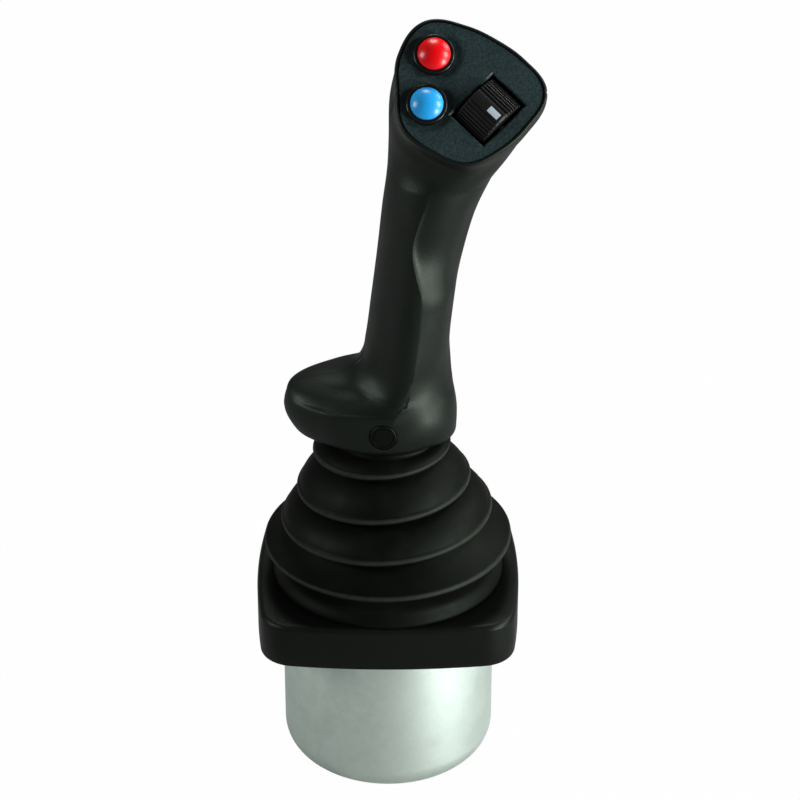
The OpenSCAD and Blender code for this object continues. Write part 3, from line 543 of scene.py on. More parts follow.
# %% The grip's loft
BEZEL_H = 16
FACE_TILT = 50
BEND_S, BEND_Y, BEND_R = 149.8, -27.8, 37.5
STRAIGHT = 5
BEND_TOP = BEND_S + BEND_R * math.radians(FACE_TILT)
TOP_S = BEND_TOP + STRAIGHT
HEAD_RADII = [25.6, 21.5, 19.9, 22, 26.9, 24.9, 22.4, 23.8, 23, 24.2, 22.4, 22.8]
STATIONS = np.array([
    [53, 4, 0, 262, 0, 19.2, 19, 18.5, 17.5, 18.8, 23.6, 32.5, 25.2, 21.4, 18.2, 16, 18.4],
    [58, 4, 0, 262, 0, 19.3, 19, 18.5, 17.6, 19.6, 26, 36, 28, 22, 19.4, 18.2, 19.4],
    [62, 4, 0, 262, 0, 19.4, 19, 18.5, 17.8, 20, 28, 38.2, 29.5, 22, 20, 19.4, 19.9],
    [66, 4, 0, 263, 0.3, 19.3, 19, 18.5, 18, 20.4, 28.8, 39, 30.2, 22, 20, 19.8, 19.8],
    [70, 4, 0, 266, 1, 18.7, 18.6, 18.3, 18, 20.2, 28.8, 38.2, 29.6, 21.8, 19.9, 19.6, 19.3],
    [73, 4.3, 0.2, 274, 1.6, 17.8, 18.2, 18, 18, 19.8, 28.8, 36.8, 25.4, 20, 19.6, 19.2, 18.6],
    [75.5, 4.6, 0.3, 276, 2, 17.2, 17.6, 17.8, 17.8, 18.8, 25.2, 30.5, 19.6, 18, 19, 18.8, 18],
    [78, 5, 0.4, 277, 2.2, 16.5, 17, 17.5, 17.7, 18, 18.8, 19.4, 16.6, 16.7, 18.7, 18.4, 17.4],
    [82, 5.6, 0.5, 278, 2.2, 15.6, 16.3, 17.2, 17.7, 17.3, 16, 14.7, 14.4, 15.7, 18.5, 18, 16.7],
    [90, 6.5, 0.6, 280, 1.2, 14.3, 15.4, 17, 18, 16.8, 14.8, 13.8, 13.9, 15.4, 18.5, 17.8, 15.7],
    [104, 8, 0.8, 279, 0.5, 14, 15.2, 17, 18.5, 17, 14.5, 13.5, 13.8, 15.5, 18.6, 17.6, 15.2],
    [122, 10.5, 1.2, 268, 2.6, 13.9, 15.2, 17.4, 19, 17.4, 14.8, 13.8, 14.2, 16.2, 19, 18.2, 15.4],
    [138, 13.2, 2.2, 263, 2, 15.2, 16.2, 18, 19.5, 18, 15.6, 14.8, 15.3, 17.4, 19.6, 19.2, 16.8],
    [150, 16, 3.4, 262, 0.8, 18.2, 18.4, 19.4, 20, 19, 17, 16, 16.6, 18.6, 20.2, 20.2, 19],
    [161, 19, 5.5, 262, 0, 21.6, 20.6, 20, 21.5, 22, 20, 18.4, 18.8, 20.2, 21.6, 21.2, 21],
    [171.5, 22, 7.6, 262, 0, 24, 21.6, 20, 22.3, 25.4, 23.4, 21, 21.6, 22, 23.2, 22, 22],
    [BEND_TOP, 25, 9.7, 262, 0, *HEAD_RADII],
    [TOP_S, 25, 9.7, 262, 0, *HEAD_RADII],
])
RIDGE, SCOOP = 3, 4
WAVES = [(RIDGE, 131, 9, -6), (RIDGE, 113, 6, 3), (SCOOP, 127, 10, 1.3), (SCOOP, 111, 4, -0.7)]


def section(s):
    """Every value of the sections at heights s, on a smooth curve through the stations."""
    heights = STATIONS[:, 0]
    slopes = np.zeros_like(STATIONS)
    rise = heights[2:-1] - heights[:-3]
    slopes[1:-2] = (STATIONS[2:-1] - STATIONS[:-3]) / rise[:, None]
    slopes[0] = (STATIONS[1] - STATIONS[0]) / (heights[1] - heights[0])
    i = np.clip(np.searchsorted(heights, np.asarray(s) + 1e-6) - 1, 0, len(heights) - 2)
    step = heights[i + 1] - heights[i]
    t = ((s - heights[i]) / step)[:, None]
    h = step[:, None]
    values = (
        (2 * t**3 - 3 * t**2 + 1) * STATIONS[i] + (t**3 - 2 * t**2 + t) * h * slopes[i]
        + (3 * t**2 - 2 * t**3) * STATIONS[i + 1] + (t**3 - t**2) * h * slopes[i + 1]
    )
    for column, middle, width, size in WAVES:
        values[:, column] += size * np.exp(-(((s - middle) / width) ** 2))
    return values


KNOTS = 12
FIRST_RADIUS = 5
SCOOP_SPAN, SCOOP_SCALE = 80, 2.6
RIDGE_SOFT = 0.006
LEDGE_S, LEDGE_STEP, LEDGE_EDGE, LEDGE_FADE = 69.8, 0.9, 0.8, 6
LEDGE_CORNER, LEDGE_TURN, LEDGE_RISE = 256, 22, 7
LEDGE_END, LEDGE_RUN_OUT = 190, 20


def ledge(s, angles):
    """Depth of the soft step that the ridge turns into, along the hand rest's lower edge."""
    turn = np.clip((angles - LEDGE_CORNER) / LEDGE_TURN, 0, 1)
    up = s - LEDGE_S - LEDGE_RISE * (1 - np.sqrt(1 - turn**2))
    swell = np.clip((angles - LEDGE_END) / LEDGE_RUN_OUT, 0, 1)
    step = np.clip(up / LEDGE_EDGE, 0, 1)
    fade = np.clip(1 - up / LEDGE_FADE, 0, 1)
    return np.where(turn < 1, LEDGE_STEP * swell * step**2 * (3 - 2 * step) * fade, 0)


def radius(values, angles):
    """Radii of sections (rows) at angles in degrees, less the finger scoop and the ledge."""
    angles = np.broadcast_to(angles, (len(values), np.shape(angles)[-1])) % 360
    turn = angles / (360 / KNOTS)
    i, t = np.floor(turn).astype(int), turn - np.floor(turn)
    knots = values[:, FIRST_RADIUS:]
    a, b, c, d = (np.take_along_axis(knots, (i + k) % KNOTS, axis=1) for k in (-1, 0, 1, 2))
    curve = 0.5 * (
        2 * b + (c - a) * t + (2 * a - 5 * b + 4 * c - d) * t**2 + (3 * b - a - 3 * c + d) * t**3
    )
    along = np.clip((angles - values[:, RIDGE:RIDGE + 1]) / SCOOP_SPAN, 0, 1)
    sharp = np.sqrt(along + RIDGE_SOFT) - math.sqrt(RIDGE_SOFT)
    scoop = SCOOP_SCALE * values[:, SCOOP:SCOOP + 1] * sharp * (1 - along)
    return curve - scoop - ledge(values[:, :1], angles)


def place(values, s, angles, r, shift):
    """Points in mm of sections at heights s, at angles and distances from their centres."""
    tilt = np.clip(s, None, BEND_TOP) - BEND_S
    tilt = (np.clip(tilt, 0, None) / BEND_R)[:, None]
    rise = np.clip(s - BEND_TOP, 0, None)[:, None]
    turn = np.radians(angles)
    x = values[:, 1:2] + r * np.cos(turn)
    y = values[:, 2:3] - BEND_Y + r * np.sin(turn) + shift
    base = BEZEL_H + np.clip(s, None, BEND_S)[:, None]
    return np.stack([
        x,
        BEND_Y + y * np.cos(tilt) - rise * np.sin(tilt),
        base + y * np.sin(tilt) + rise * np.cos(tilt),
    ], axis=-1)


print("loft:", len(STATIONS), "stations from", STATIONS[0, 0], "to", round(TOP_S, 1), "mm")

# %% [markdown]
# ## Grip shells
# The two shells are the loft cut in half. Each ring of a shell is a closed loop: out
# along the outer skin, over the seam, back along the lining. The last columns dip by a
# third of a millimetre, which draws the parting line as a fine groove. The rim at the top
# and the edge at the foot are rounded in the same way.

# %% Grip shells
GRIP_BOTTOM = 55
FOOT_ROUND, RIM_ROUND = 2.4, 0.9
WALL, RIM_W, FACE_T, FLOOR_T = 2.6, 1.0, 2.5, 3.0
HOLE_R, SEAT_LEDGE = 13, 2.2
SEAM_GAP = 0.1
HALF_STEPS = 110
SEAM_WIDTH, SEAM_DIP = 1.1, 0.35


def ring_heights():
    """Heights of the rings, close together at the foot and at the rim."""
    foot = GRIP_BOTTOM + FOOT_ROUND * (1 - np.cos(np.linspace(0, math.pi / 2, 9)))
    band = np.arange(GRIP_BOTTOM + FOOT_ROUND + 0.8, LEDGE_S - 0.6, 0.9)
    step = np.arange(LEDGE_S - 0.2, LEDGE_S + LEDGE_RISE, 0.2)
    body = np.arange(LEDGE_S + LEDGE_RISE + 0.6, TOP_S - FACE_T - 1.6, 0.9)
    seat = TOP_S - np.array([FACE_T + 1.6, FACE_T + 0.05, FACE_T])
    rim = TOP_S - RIM_ROUND * (1 - np.sin(np.linspace(0, math.pi / 2, 7)))
    return np.concatenate([foot, band, step, body, seat, rim])


def edge_round(s):
    """How far the foot and the rim draw in at height s."""
    up = np.clip((s - TOP_S + RIM_ROUND) / RIM_ROUND, 0, 1)
    down = np.clip((GRIP_BOTTOM + FOOT_ROUND - s) / FOOT_ROUND, 0, 1)
    return (
        0.8 * RIM_ROUND * (1 - np.sqrt(1 - up**2)) + FOOT_ROUND * (1 - np.sqrt(1 - down**2))
    )


def to_ridge(span, ridge):
    """Slides the columns so that the one nearest to the ridge's mean place runs along it."""
    pivot = span[0, np.abs(span[0] - ridge.mean()).argmin()]
    return np.where(span <= pivot, span * ridge / pivot,
                    180 - (180 - span) * (180 - ridge) / (180 - pivot))


def grip_shell(name, start, seam):
    """Half of the grip, from an angle on, with the edges at its seam shifted along Y."""
    heights = ring_heights()
    values = section(heights)
    span = np.linspace(0, 180, HALF_STEPS + 1)
    lead = np.array([0, 0.4, 0.9, 1.5])
    span = np.concatenate([lead, span[2:-2], 180 - lead[::-1]])[None, :]
    if start == 180:
        span = to_ridge(span, values[:, RIDGE:RIDGE + 1] - start)
    angles = start + span
    r = radius(values, angles)
    to_seam = np.minimum(span, 180 - span) * np.pi / 180 * r
    dip = SEAM_DIP * np.clip(1 - to_seam / SEAM_WIDTH, 0, 1) ** 2
    edge = (to_seam == 0) * seam
    outer = place(values, heights, angles, r - edge_round(heights)[:, None] - dip, edge)
    depth = TOP_S - heights
    seat = np.where(depth > FACE_T + 0.01, RIM_W + SEAT_LEDGE, RIM_W)
    inset = np.where(depth > FACE_T + 2.5, WALL, seat)
    low = heights < GRIP_BOTTOM + FLOOR_T + 0.6
    inner = place(values, heights, angles, r - inset[:, None], edge)
    floor_turn = np.radians(np.broadcast_to(angles, r.shape)[low])
    floor_in = np.stack(np.broadcast_arrays(
        HOLE_R * np.cos(floor_turn), HOLE_R * np.sin(floor_turn) + (to_seam[low] == 0) * seam,
        (BEZEL_H + GRIP_BOTTOM + (heights[low] - GRIP_BOTTOM)
         * FLOOR_T / (heights[low][-1] - GRIP_BOTTOM))[:, None],
    ), axis=-1)
    inner[low] = floor_in
    loops = np.concatenate([outer, inner[:, ::-1]], axis=1)
    rings, count = loops.shape[:2]
    cols = outer.shape[1]
    faces = loop_faces(rings, count)
    top = (rings - 1) * count
    for i in range(cols - 1):
        j = count - 1 - i
        faces.append((i + 1, i, j, j - 1))
        faces.append((top + i, top + i + 1, top + j - 1, top + j))
    shell = new_object(name, loops.reshape(-1, 3), faces)
    return tidy_normals(shell)


front_shell = grip_shell("grip_front", 180, -SEAM_GAP / 2)
rear_shell = grip_shell("grip_rear", 0, SEAM_GAP / 2)
print("shells:", len(front_shell.data.polygons), "+", len(rear_shell.data.polygons), "faces")

# %% [markdown]
# ## Holes in the shells
# The rear shell has two round holes for its screws' heads, and the front shell a round
# seat for the plug over the clamp's set screw. Boolean cuts keep them exactly round.


# %% Holes in the shells
def along(origin, axis):
    """A matrix that puts Z along an axis, at a point in mm."""
    turn = Vector(axis).to_track_quat("Z", "Y").to_matrix().to_4x4()
    return Matrix.Translation(Vector(origin) * MM) @ turn


def rod(r, low, high, frame_at):
    """A closed round tool for a cut."""
    profile = [(0, low), (r, low), (r, high), (0, high)]
    return turned("tool", profile, grip_plastic, 64, frame_at)


SCREW_HEIGHTS = np.array([98.0, 138.0])
SCREW_HEAD_R, HEAD_SINK = 2.8, 3.0
PLUG_TURN, PLUG_Z, PLUG_R, PLUG_FACE = -4, BEZEL_H + 63, 4.5, 20.1
screw_sections = section(SCREW_HEIGHTS)
backs = radius(screw_sections, np.array([90.0]))[:, 0]
tools = [
    rod(SCREW_HEAD_R + 0.1, back - HEAD_SINK - 2, back + 9,
        along((v[1], v[2], BEZEL_H + h), (0, 1, 0)))
    for h, v, back in zip(SCREW_HEIGHTS, screw_sections, backs)
]
rear_shell = cut(rear_shell, *tools)
plug_axis = Vector((math.sin(math.radians(PLUG_TURN)), -math.cos(math.radians(PLUG_TURN)), 0))
PLUG_AT = along((0, 0, PLUG_Z), plug_axis)
front_shell = cut(front_shell, rod(PLUG_R + 0.25, PLUG_FACE - 3, PLUG_FACE + 9, PLUG_AT))
finish_piece(front_shell, "lever", ["grip_front_shell"], grip_plastic)
finish_piece(rear_shell, "lever", ["grip_rear_shell"], grip_plastic)
print("cut", len(tools), "screw holes and the plug's seat")

# %% [markdown]
# ## Face plate
# The plate drops into the head, a third of a millimetre below the rim. Its outline is the
# loft's last section, drawn in. A constrained triangulation keeps that outline, the
# roller's window and the collars' seats as exact edges, and fills the rest with points
# that a rule can lower: a soft dish runs round each collar, and the window has a chamfer.

# %% Face plate
FACE_Y = 15
FACE_DROP = 0.3
RED_AT, BLUE_AT, ROLLER_AT = (14.9, 34.5), (12.6, 18.2), (31.9, 16.7)
ROLLER_TURN = -45
OPENING = (14.6, 19)
COLLAR_R = 6.5
PLATE_CLEAR = 0.12


def on_face(a, b, h):
    """A point in mm, from its place on the face plate and its height above the rim."""
    tilt = math.radians(FACE_TILT)
    along_face, up = FACE_Y + b, h + STRAIGHT
    return Vector((
        a,
        BEND_Y + along_face * math.cos(tilt) - up * math.sin(tilt),
        BEZEL_H + BEND_S + along_face * math.sin(tilt) + up * math.cos(tilt),
    ))


def face_frame(a=0.0, b=0.0, h=0.0, turn=0.0):
    """A matrix, in metres, for pieces that stand on the face plate."""
    return (
        Matrix.Translation(on_face(a, b, h) * MM)
        @ Matrix.Rotation(math.radians(FACE_TILT), 4, "X")
        @ Matrix.Rotation(math.radians(turn), 4, "Z")
    )


def head_outline(inset, steps=160):
    """The head's outline in the face plate's plane, drawn in by a distance."""
    values = section(np.array([TOP_S]))
    angles = np.arange(steps) * 360 / steps
    r = radius(values, angles)[0] - inset
    turn = np.radians(angles)
    return np.stack([
        values[0, 1] + r * np.cos(turn), values[0, 2] - BEND_Y - FACE_Y + r * np.sin(turn)
    ], axis=1)


def ring(centre, r, steps=72):
    """Points of a circle in the face plate's plane."""
    turn = np.arange(steps) * 2 * np.pi / steps
    return np.asarray(centre) + r * np.stack([np.cos(turn), np.sin(turn)], axis=1)


def window(grow, steps=1):
    """The roller's window, grown by a distance."""
    a, b = OPENING[0] / 2 + grow, OPENING[1] / 2 + grow
    corners = np.array([(-a, -b), (a, -b), (a, b), (-a, b)])
    sides = [
        corners[k] + (corners[(k + 1) % 4] - corners[k]) * t / steps
        for k in range(4) for t in range(steps)
    ]
    turn = math.radians(ROLLER_TURN)
    spin = np.array([[math.cos(turn), math.sin(turn)], [-math.sin(turn), math.cos(turn)]])
    return np.array(sides) @ spin + np.array(ROLLER_AT)


def inside(points, polygon):
    """Which points lie inside a closed polygon."""
    x, y = points[:, 0, None], points[:, 1, None]
    a, b = polygon, np.roll(polygon, -1, axis=0)
    cross = (a[:, 1] > y) != (b[:, 1] > y)
    reach = a[:, 0] + (y - a[:, 1]) * (b[:, 0] - a[:, 0]) / (b[:, 1] - a[:, 1] + 1e-12)
    return (np.sum(cross & (x < reach), axis=1) % 2) == 1


DISH_R, DISH_DEPTH = 9.6, 0.75
CHAMFER, CHAMFER_DEPTH = 0.5, 0.35
EDGE_ROUND = 0.35
GRID_STEP = 0.7


def face_height(points):
    """Height of the plate's upper side: dishes round the collars."""
    height = np.zeros(len(points))
    for centre in (RED_AT, BLUE_AT):
        r = np.linalg.norm(points - np.array(centre), axis=1)
        t = np.clip((DISH_R - r) / (DISH_R - COLLAR_R), 0, 1)
        height -= DISH_DEPTH * t * t * (3 - 2 * t)
    return height


def plate_points(loops):
    """The loops' own points, then an uneven grid that fills the space between them."""
    low, high = loops[0].min(axis=0), loops[0].max(axis=0)
    columns, rows = (np.arange(low[k], high[k], GRID_STEP) for k in (0, 1))
    grid = np.stack(np.meshgrid(columns, rows), axis=-1).reshape(-1, 2)
    grid += 0.2 * np.sin(grid[:, ::-1] * 9.7)
    keep = inside(grid, head_outline(RIM_W + PLATE_CLEAR + EDGE_ROUND + 0.3))
    keep &= ~inside(grid, window(CHAMFER + 0.25))
    for centre in (RED_AT, BLUE_AT):
        keep &= np.linalg.norm(grid - np.array(centre), axis=1) > COLLAR_R
    return np.concatenate([*loops, grid[keep]])


def plate_skin(shoulder, lip, seats):
    """The plate's upper side: triangles that keep every loop as a line of edges."""
    loops = [shoulder, lip, *seats]
    edges, start = [], 0
    for loop in loops:
        n = len(loop)
        edges += [(start + k, start + (k + 1) % n) for k in range(n)]
        start += n
    out = delaunay_2d_cdt([Vector(p) for p in plate_points(loops)], edges, [], 0, 1e-6)
    flat = np.array([tuple(v) for v in out[0]])
    centres = np.array([flat[list(f)].mean(axis=0) for f in out[2]])
    good = inside(centres, shoulder)
    for hole in (lip, *seats):
        good &= ~inside(centres, hole)
    faces = [tuple(f) for f, ok in zip(out[2], good) if ok]
    return new_object("face_plate_skin", np.column_stack([flat, face_height(flat)]), faces)


def edge_place(edge):
    """Which of the plate's borders an edge of the skin lies on."""
    middle = np.array((edge.verts[0].co + edge.verts[1].co)[:2]) / 2 / MM
    if np.min(np.linalg.norm(np.array([RED_AT, BLUE_AT]) - middle, axis=1)) < COLLAR_R + 0.1:
        return "seat"
    return "window" if inside(middle[None], window(CHAMFER + 0.2))[0] else "outside"


def extruded(work, edges, move):
    """Extrudes a loop of edges, and moves each new point by a rule in mm."""
    made = bmesh.ops.extrude_edge_only(work, edges=edges)["geom"]
    for v in (g for g in made if isinstance(g, bmesh.types.BMVert)):
        v.co = move(v.co / MM) * MM
    return [g for g in made if isinstance(g, bmesh.types.BMEdge)]


def onto(before, after, drop):
    """A rule that moves each point of one loop to its place in another, and down."""
    def move(v):
        k = np.argmin(np.linalg.norm(before - np.array(v[:2]), axis=1))
        return Vector((*after[k], v[2] - drop))

    return move


def underside(v):
    """A rule that moves a point straight down to the plate's underside."""
    return Vector((v[0], v[1], FACE_DROP - FACE_T))


def make_face_plate():
    """The skin, its rounded outer edge, the window's chamfer, the seats and the back."""
    outline = head_outline(RIM_W + PLATE_CLEAR)
    shoulder = head_outline(RIM_W + PLATE_CLEAR + EDGE_ROUND)
    mouth, lip = window(0, 12), window(CHAMFER, 12)
    plate = plate_skin(shoulder, lip, [ring(c, COLLAR_R - 0.25) for c in (RED_AT, BLUE_AT)])
    work = bmesh.new()
    work.from_mesh(plate.data)
    bmesh.ops.recalc_face_normals(work, faces=work.faces)
    if sum(f.normal.z for f in work.faces) < 0:
        bmesh.ops.reverse_faces(work, faces=work.faces)
    borders = {"seat": [], "window": [], "outside": []}
    for edge in [e for e in work.edges if e.is_boundary]:
        borders[edge_place(edge)].append(edge)
    rounded = extruded(work, borders["outside"], onto(shoulder, outline, EDGE_ROUND))
    bottom = extruded(work, rounded, underside)
    chamfered = extruded(work, borders["window"], onto(lip, mouth, CHAMFER_DEPTH))
    bottom += extruded(work, chamfered, underside)
    bottom += extruded(work, borders["seat"], underside)
    bmesh.ops.triangle_fill(work, edges=bottom, use_beauty=True, use_dissolve=False)
    bmesh.ops.recalc_face_normals(work, faces=work.faces)
    work.to_mesh(plate.data)
    work.free()
    plate.data.transform(face_frame(h=-FACE_DROP))
    return plate


face_plate = make_face_plate()
finish_piece(face_plate, "lever", ["face_plate"], face_plastic, math.radians(28))
print("face plate:", len(face_plate.data.polygons), "faces")

# %% [markdown]
# ## Buttons
# A collar stands round each cap. Its lip is rounded on both sides, so that it catches the
# light as two thin rings. The cap is a skirt with a dome that is part of a sphere, over
# the spring that lifts it.

# %% Buttons
BUTTON_R, COLLAR_H, BUTTON_TRAVEL = 5.2, 1.6, 2.2
CAP_CLEAR, CAP_LOW = 0.08, COLLAR_H - 0.8
DOME_H = 2.6
STEM_R, STEM_L = 1.8, 4.5
HOUSING_DEPTH, HOUSING_LOW_R = 10.5, 5.0
BORE_LOW, WELL_R, WELL_LOW = CAP_LOW - BUTTON_TRAVEL - 0.2, 3.6, -9.0
COLLAR_LIP, INNER_LIP, PLATE_STEP = 0.45, 0.3, 0.35


def arc(cx, cy, r, start, end, steps=8):
    """Points of an arc in degrees, for a profile."""
    turn = np.radians(np.linspace(start, end, steps + 1))
    return [(cx + r * math.cos(t), cy + r * math.sin(t)) for t in turn]


def collar_profile():
    """The housing from its foot up to the collar, then down the bore and the well."""
    outer, inner, top = COLLAR_R, BUTTON_R + CAP_CLEAR, COLLAR_H
    neck, plate_low = outer - PLATE_STEP, FACE_DROP - FACE_T
    return [
        (0, -HOUSING_DEPTH), (HOUSING_LOW_R, -HOUSING_DEPTH), (HOUSING_LOW_R, plate_low),
        (neck, plate_low), (neck, -DISH_DEPTH - 0.2), (outer, -DISH_DEPTH - 0.1),
        *arc(outer - COLLAR_LIP, top - COLLAR_LIP, COLLAR_LIP, 0, 90),
        *arc(inner + INNER_LIP, top - INNER_LIP, INNER_LIP, 90, 180),
        (inner, BORE_LOW), (WELL_R, BORE_LOW), (WELL_R, WELL_LOW), (0, WELL_LOW),
    ]


def cap_profile():
    """The stem inside the spring, the skirt, and the dome."""
    sphere_r = (BUTTON_R**2 + DOME_H**2) / (2 * DOME_H)
    skirt_top = COLLAR_H + 0.4
    half = math.degrees(math.asin(BUTTON_R / sphere_r))
    dome = arc(0, skirt_top + DOME_H - sphere_r, sphere_r, 90 - half, 90, 24)
    return [
        (0, CAP_LOW - STEM_L), (STEM_R, CAP_LOW - STEM_L), (STEM_R, CAP_LOW),
        (BUTTON_R - 0.1, CAP_LOW), (BUTTON_R, CAP_LOW + 0.1), *dome,
    ]


for colour, at, finish in (("red", RED_AT, red_plastic), ("blue", BLUE_AT, blue_plastic)):
    seat = face_frame(*at, -FACE_DROP)
    collar = turned(f"{colour}_collar", collar_profile(), collar_plastic, 96, seat)
    finish_piece(collar, "lever", [f"{colour}_button_housing"], collar_plastic)
    cap = turned(f"{colour}_cap", cap_profile(), finish, 96, seat)
    finish_piece(cap, f"{colour}_button", [f"{colour}_button_cap"], finish)
    print(colour, "button:", len(collar.data.polygons) + len(cap.data.polygons), "faces")

# %% [markdown]
# ## Button springs
# A coil under each cap fills the well from its floor to the cap's skirt. It stands on the
# housing, under the cap.

# %% Button springs
BUTTON_WIRE, COIL_TURNS, COIL_CLEAR = 0.5, 5, 0.05
COIL_STEPS, WIRE_SIDES = 24, 8
SPRING_ROOM, PRESS_SPARE = CAP_LOW - WELL_LOW, 0.1


def button_spring(name):
    """A coil of round wire about Z, from the well's floor to the cap's skirt."""
    coil_r, wire_r = WELL_R - BUTTON_WIRE, BUTTON_WIRE / 2
    low = WELL_LOW + wire_r + COIL_CLEAR
    pitch = (SPRING_ROOM - BUTTON_WIRE - 2 * COIL_CLEAR) / COIL_TURNS
    rings = COIL_TURNS * COIL_STEPS + 1
    points = []
    for i in range(rings):
        turn = 2 * math.pi * i / COIL_STEPS
        for side in range(WIRE_SIDES):
            a = 2 * math.pi * side / WIRE_SIDES
            r = coil_r + wire_r * math.cos(a)
            height = low + pitch * i / COIL_STEPS + wire_r * math.sin(a)
            points.append((r * math.cos(turn), r * math.sin(turn), height))
    return tidy_normals(new_object(name, points, capped_faces(rings, WIRE_SIDES)))


for colour, at in (("red", RED_AT), ("blue", BLUE_AT)):
    seat = face_frame(*at, -FACE_DROP)
    spring = button_spring(f"{colour}_spring")
    spring.data.transform(seat)
    finish_piece(spring, "lever", [f"{colour}_button_spring"], spring_steel)
    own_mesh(spring)
    print(colour, "spring:", len(spring.data.polygons), "faces")

# %% [markdown]
# ## Thumb roller by Geometry Nodes
# The roller is a drum with a plain land in the middle of its travel and ribs all round
# the rest. Ribs repeat, so a tree sets one rib on every point of an arc. The ribs, the
# drum and the land are then joined as one piece.

# %% Thumb roller
ROLLER_R, ROLLER_W, ROLLER_OUT = 9.5, 12.4, 4.0
RIB_H, RIB_PITCH, RIB_SHARE, RIB_END = 0.5, 7.5, 0.31, 0.15
LAND_HALF, LAND_BEVEL, LAND_DROP, LAND_SUNK, LAND_SIDE = 11.5, 0.5, 0.6, 0.4, 0.12
AXLE_R, DRUM_R, DRUM_BEVEL = 1.6, ROLLER_R - RIB_H, 0.6
ROLLER_DEPTH = ROLLER_R - ROLLER_OUT + FACE_DROP


def ribbing_tree():
    """The node tree that sets one rib on every point of an arc."""
    tree = bpy.data.node_groups.new("ribs on a drum", "GeometryNodeTree")
    face = tree.interface
    face.new_socket("Rib", in_out="INPUT", socket_type="NodeSocketGeometry")
    sizes = {"Ribs": "Int", "Radius": "Float", "First angle": "Float", "Pitch": "Float"}
    for name, kind in sizes.items():
        face.new_socket(name, in_out="INPUT", socket_type=f"NodeSocket{kind}")
    face.new_socket("Finish", in_out="INPUT", socket_type="NodeSocketMaterial")
    face.new_socket("Ribbed", in_out="OUTPUT", socket_type="NodeSocketGeometry")
    new, join = tree.nodes.new, tree.links.new
    source, result = new("NodeGroupInput"), new("NodeGroupOutput")
    points, index = new("GeometryNodePoints"), new("GeometryNodeInputIndex")

    def maths(operation, a, b=None):
        node = new("ShaderNodeMath")
        node.operation = operation
        for socket, value in zip(node.inputs, (a, b)):
            if value is not None:
                join(value, socket)
        return node.outputs[0]

    angle = maths("ADD", maths("MULTIPLY", index.outputs[0], source.outputs["Pitch"]),
                  source.outputs["First angle"])
    spot, turn = new("ShaderNodeCombineXYZ"), new("ShaderNodeCombineXYZ")
    join(maths("MULTIPLY", maths("COSINE", angle), source.outputs["Radius"]), spot.inputs["Y"])
    join(maths("MULTIPLY", maths("SINE", angle), source.outputs["Radius"]), spot.inputs["Z"])
    join(angle, turn.inputs["X"])
    place_ribs, whole = new("GeometryNodeInstanceOnPoints"), new("GeometryNodeRealizeInstances")
    paint = new("GeometryNodeSetMaterial")
    join(source.outputs["Ribs"], points.inputs["Count"])
    join(spot.outputs[0], points.inputs["Position"])
    join(points.outputs[0], place_ribs.inputs["Points"])
    join(source.outputs["Rib"], place_ribs.inputs["Instance"])
    join(turn.outputs[0], place_ribs.inputs["Rotation"])
    join(place_ribs.outputs[0], whole.inputs["Geometry"])
    join(whole.outputs[0], paint.inputs["Geometry"])
    join(source.outputs["Finish"], paint.inputs["Material"])
    join(paint.outputs[0], result.inputs["Ribbed"])
    return tree


def one_rib():
    """A rib along X at the origin, standing out along Y, with a rounded top and a sunk foot."""
    half, foot = ROLLER_W / 2 - 0.05, RIB_H + 0.35
    width = ROLLER_R * math.radians(RIB_PITCH) * RIB_SHARE
    side = [(0.55, -0.03), (0.9, -0.16), (1, -foot)]
    left, right = ([(sign * width * k, h) for k, h in side] for sign in (-1, 1))
    outline = left[::-1] + [(0, 0)] + right
    ends = ((-half, RIB_END), (-half + RIB_END, 0), (half - RIB_END, 0), (half, RIB_END))
    points = [(x, h - drop, -across) for x, drop in ends for across, h in outline]
    return tidy_normals(new_object("roller_ribs", points, capped_faces(4, len(outline))))


def roller_ribs():
    """The ribs, from one side of the land right round to the other."""
    rib = one_rib()
    land, pitch = math.radians(LAND_HALF), math.radians(RIB_PITCH)
    ribs = int((360 - 2 * LAND_HALF) / RIB_PITCH)
    spare = 2 * math.pi - 2 * land - (ribs - 1) * pitch
    modifier = rib.modifiers.new("ribs", "NODES")
    modifier.node_group = ribbing_tree()
    set_input(modifier, "Ribs", ribs)
    set_input(modifier, "Radius", ROLLER_R * MM)
    set_input(modifier, "Pitch", pitch)
    set_input(modifier, "First angle", math.pi / 2 + land + spare / 2)
    set_input(modifier, "Finish", roller_plastic.material)
    return baked(rib)


def roller_drum():
    """The drum that the ribs stand on, bevelled at its ends and bored for the axle."""
    half, bore = ROLLER_W / 2, AXLE_R + 0.05
    edge_r, edge_x = DRUM_R - DRUM_BEVEL, half - DRUM_BEVEL
    profile = [(bore, -half), (edge_r, -half), (DRUM_R, -edge_x),
               (DRUM_R, edge_x), (edge_r, half), (bore, half)]
    return turned("drum", profile, roller_plastic, 144, Matrix.Rotation(math.pi / 2, 4, "Y"))


def roller_land():
    """The plain land: as high as the ribs, bevelled at its ends, and sunk into the drum."""
    half, flat = ROLLER_W / 2, ROLLER_W / 2 - LAND_BEVEL
    turn = np.linspace(-LAND_HALF, LAND_HALF, 13)
    points = []
    for x, drop in ((-half, LAND_DROP), (-flat, 0), (flat, 0), (half, LAND_DROP)):
        foot = [(DRUM_R - LAND_SUNK, a) for a in turn[::-1]]
        top = [(ROLLER_R - drop - (LAND_SIDE if abs(a) == LAND_HALF else 0), a) for a in turn]
        points += [
            (x, r * math.sin(math.radians(a)), r * math.cos(math.radians(a))) for r, a in foot + top
        ]
    return tidy_normals(new_object("land", points, capped_faces(4, 2 * len(turn))))


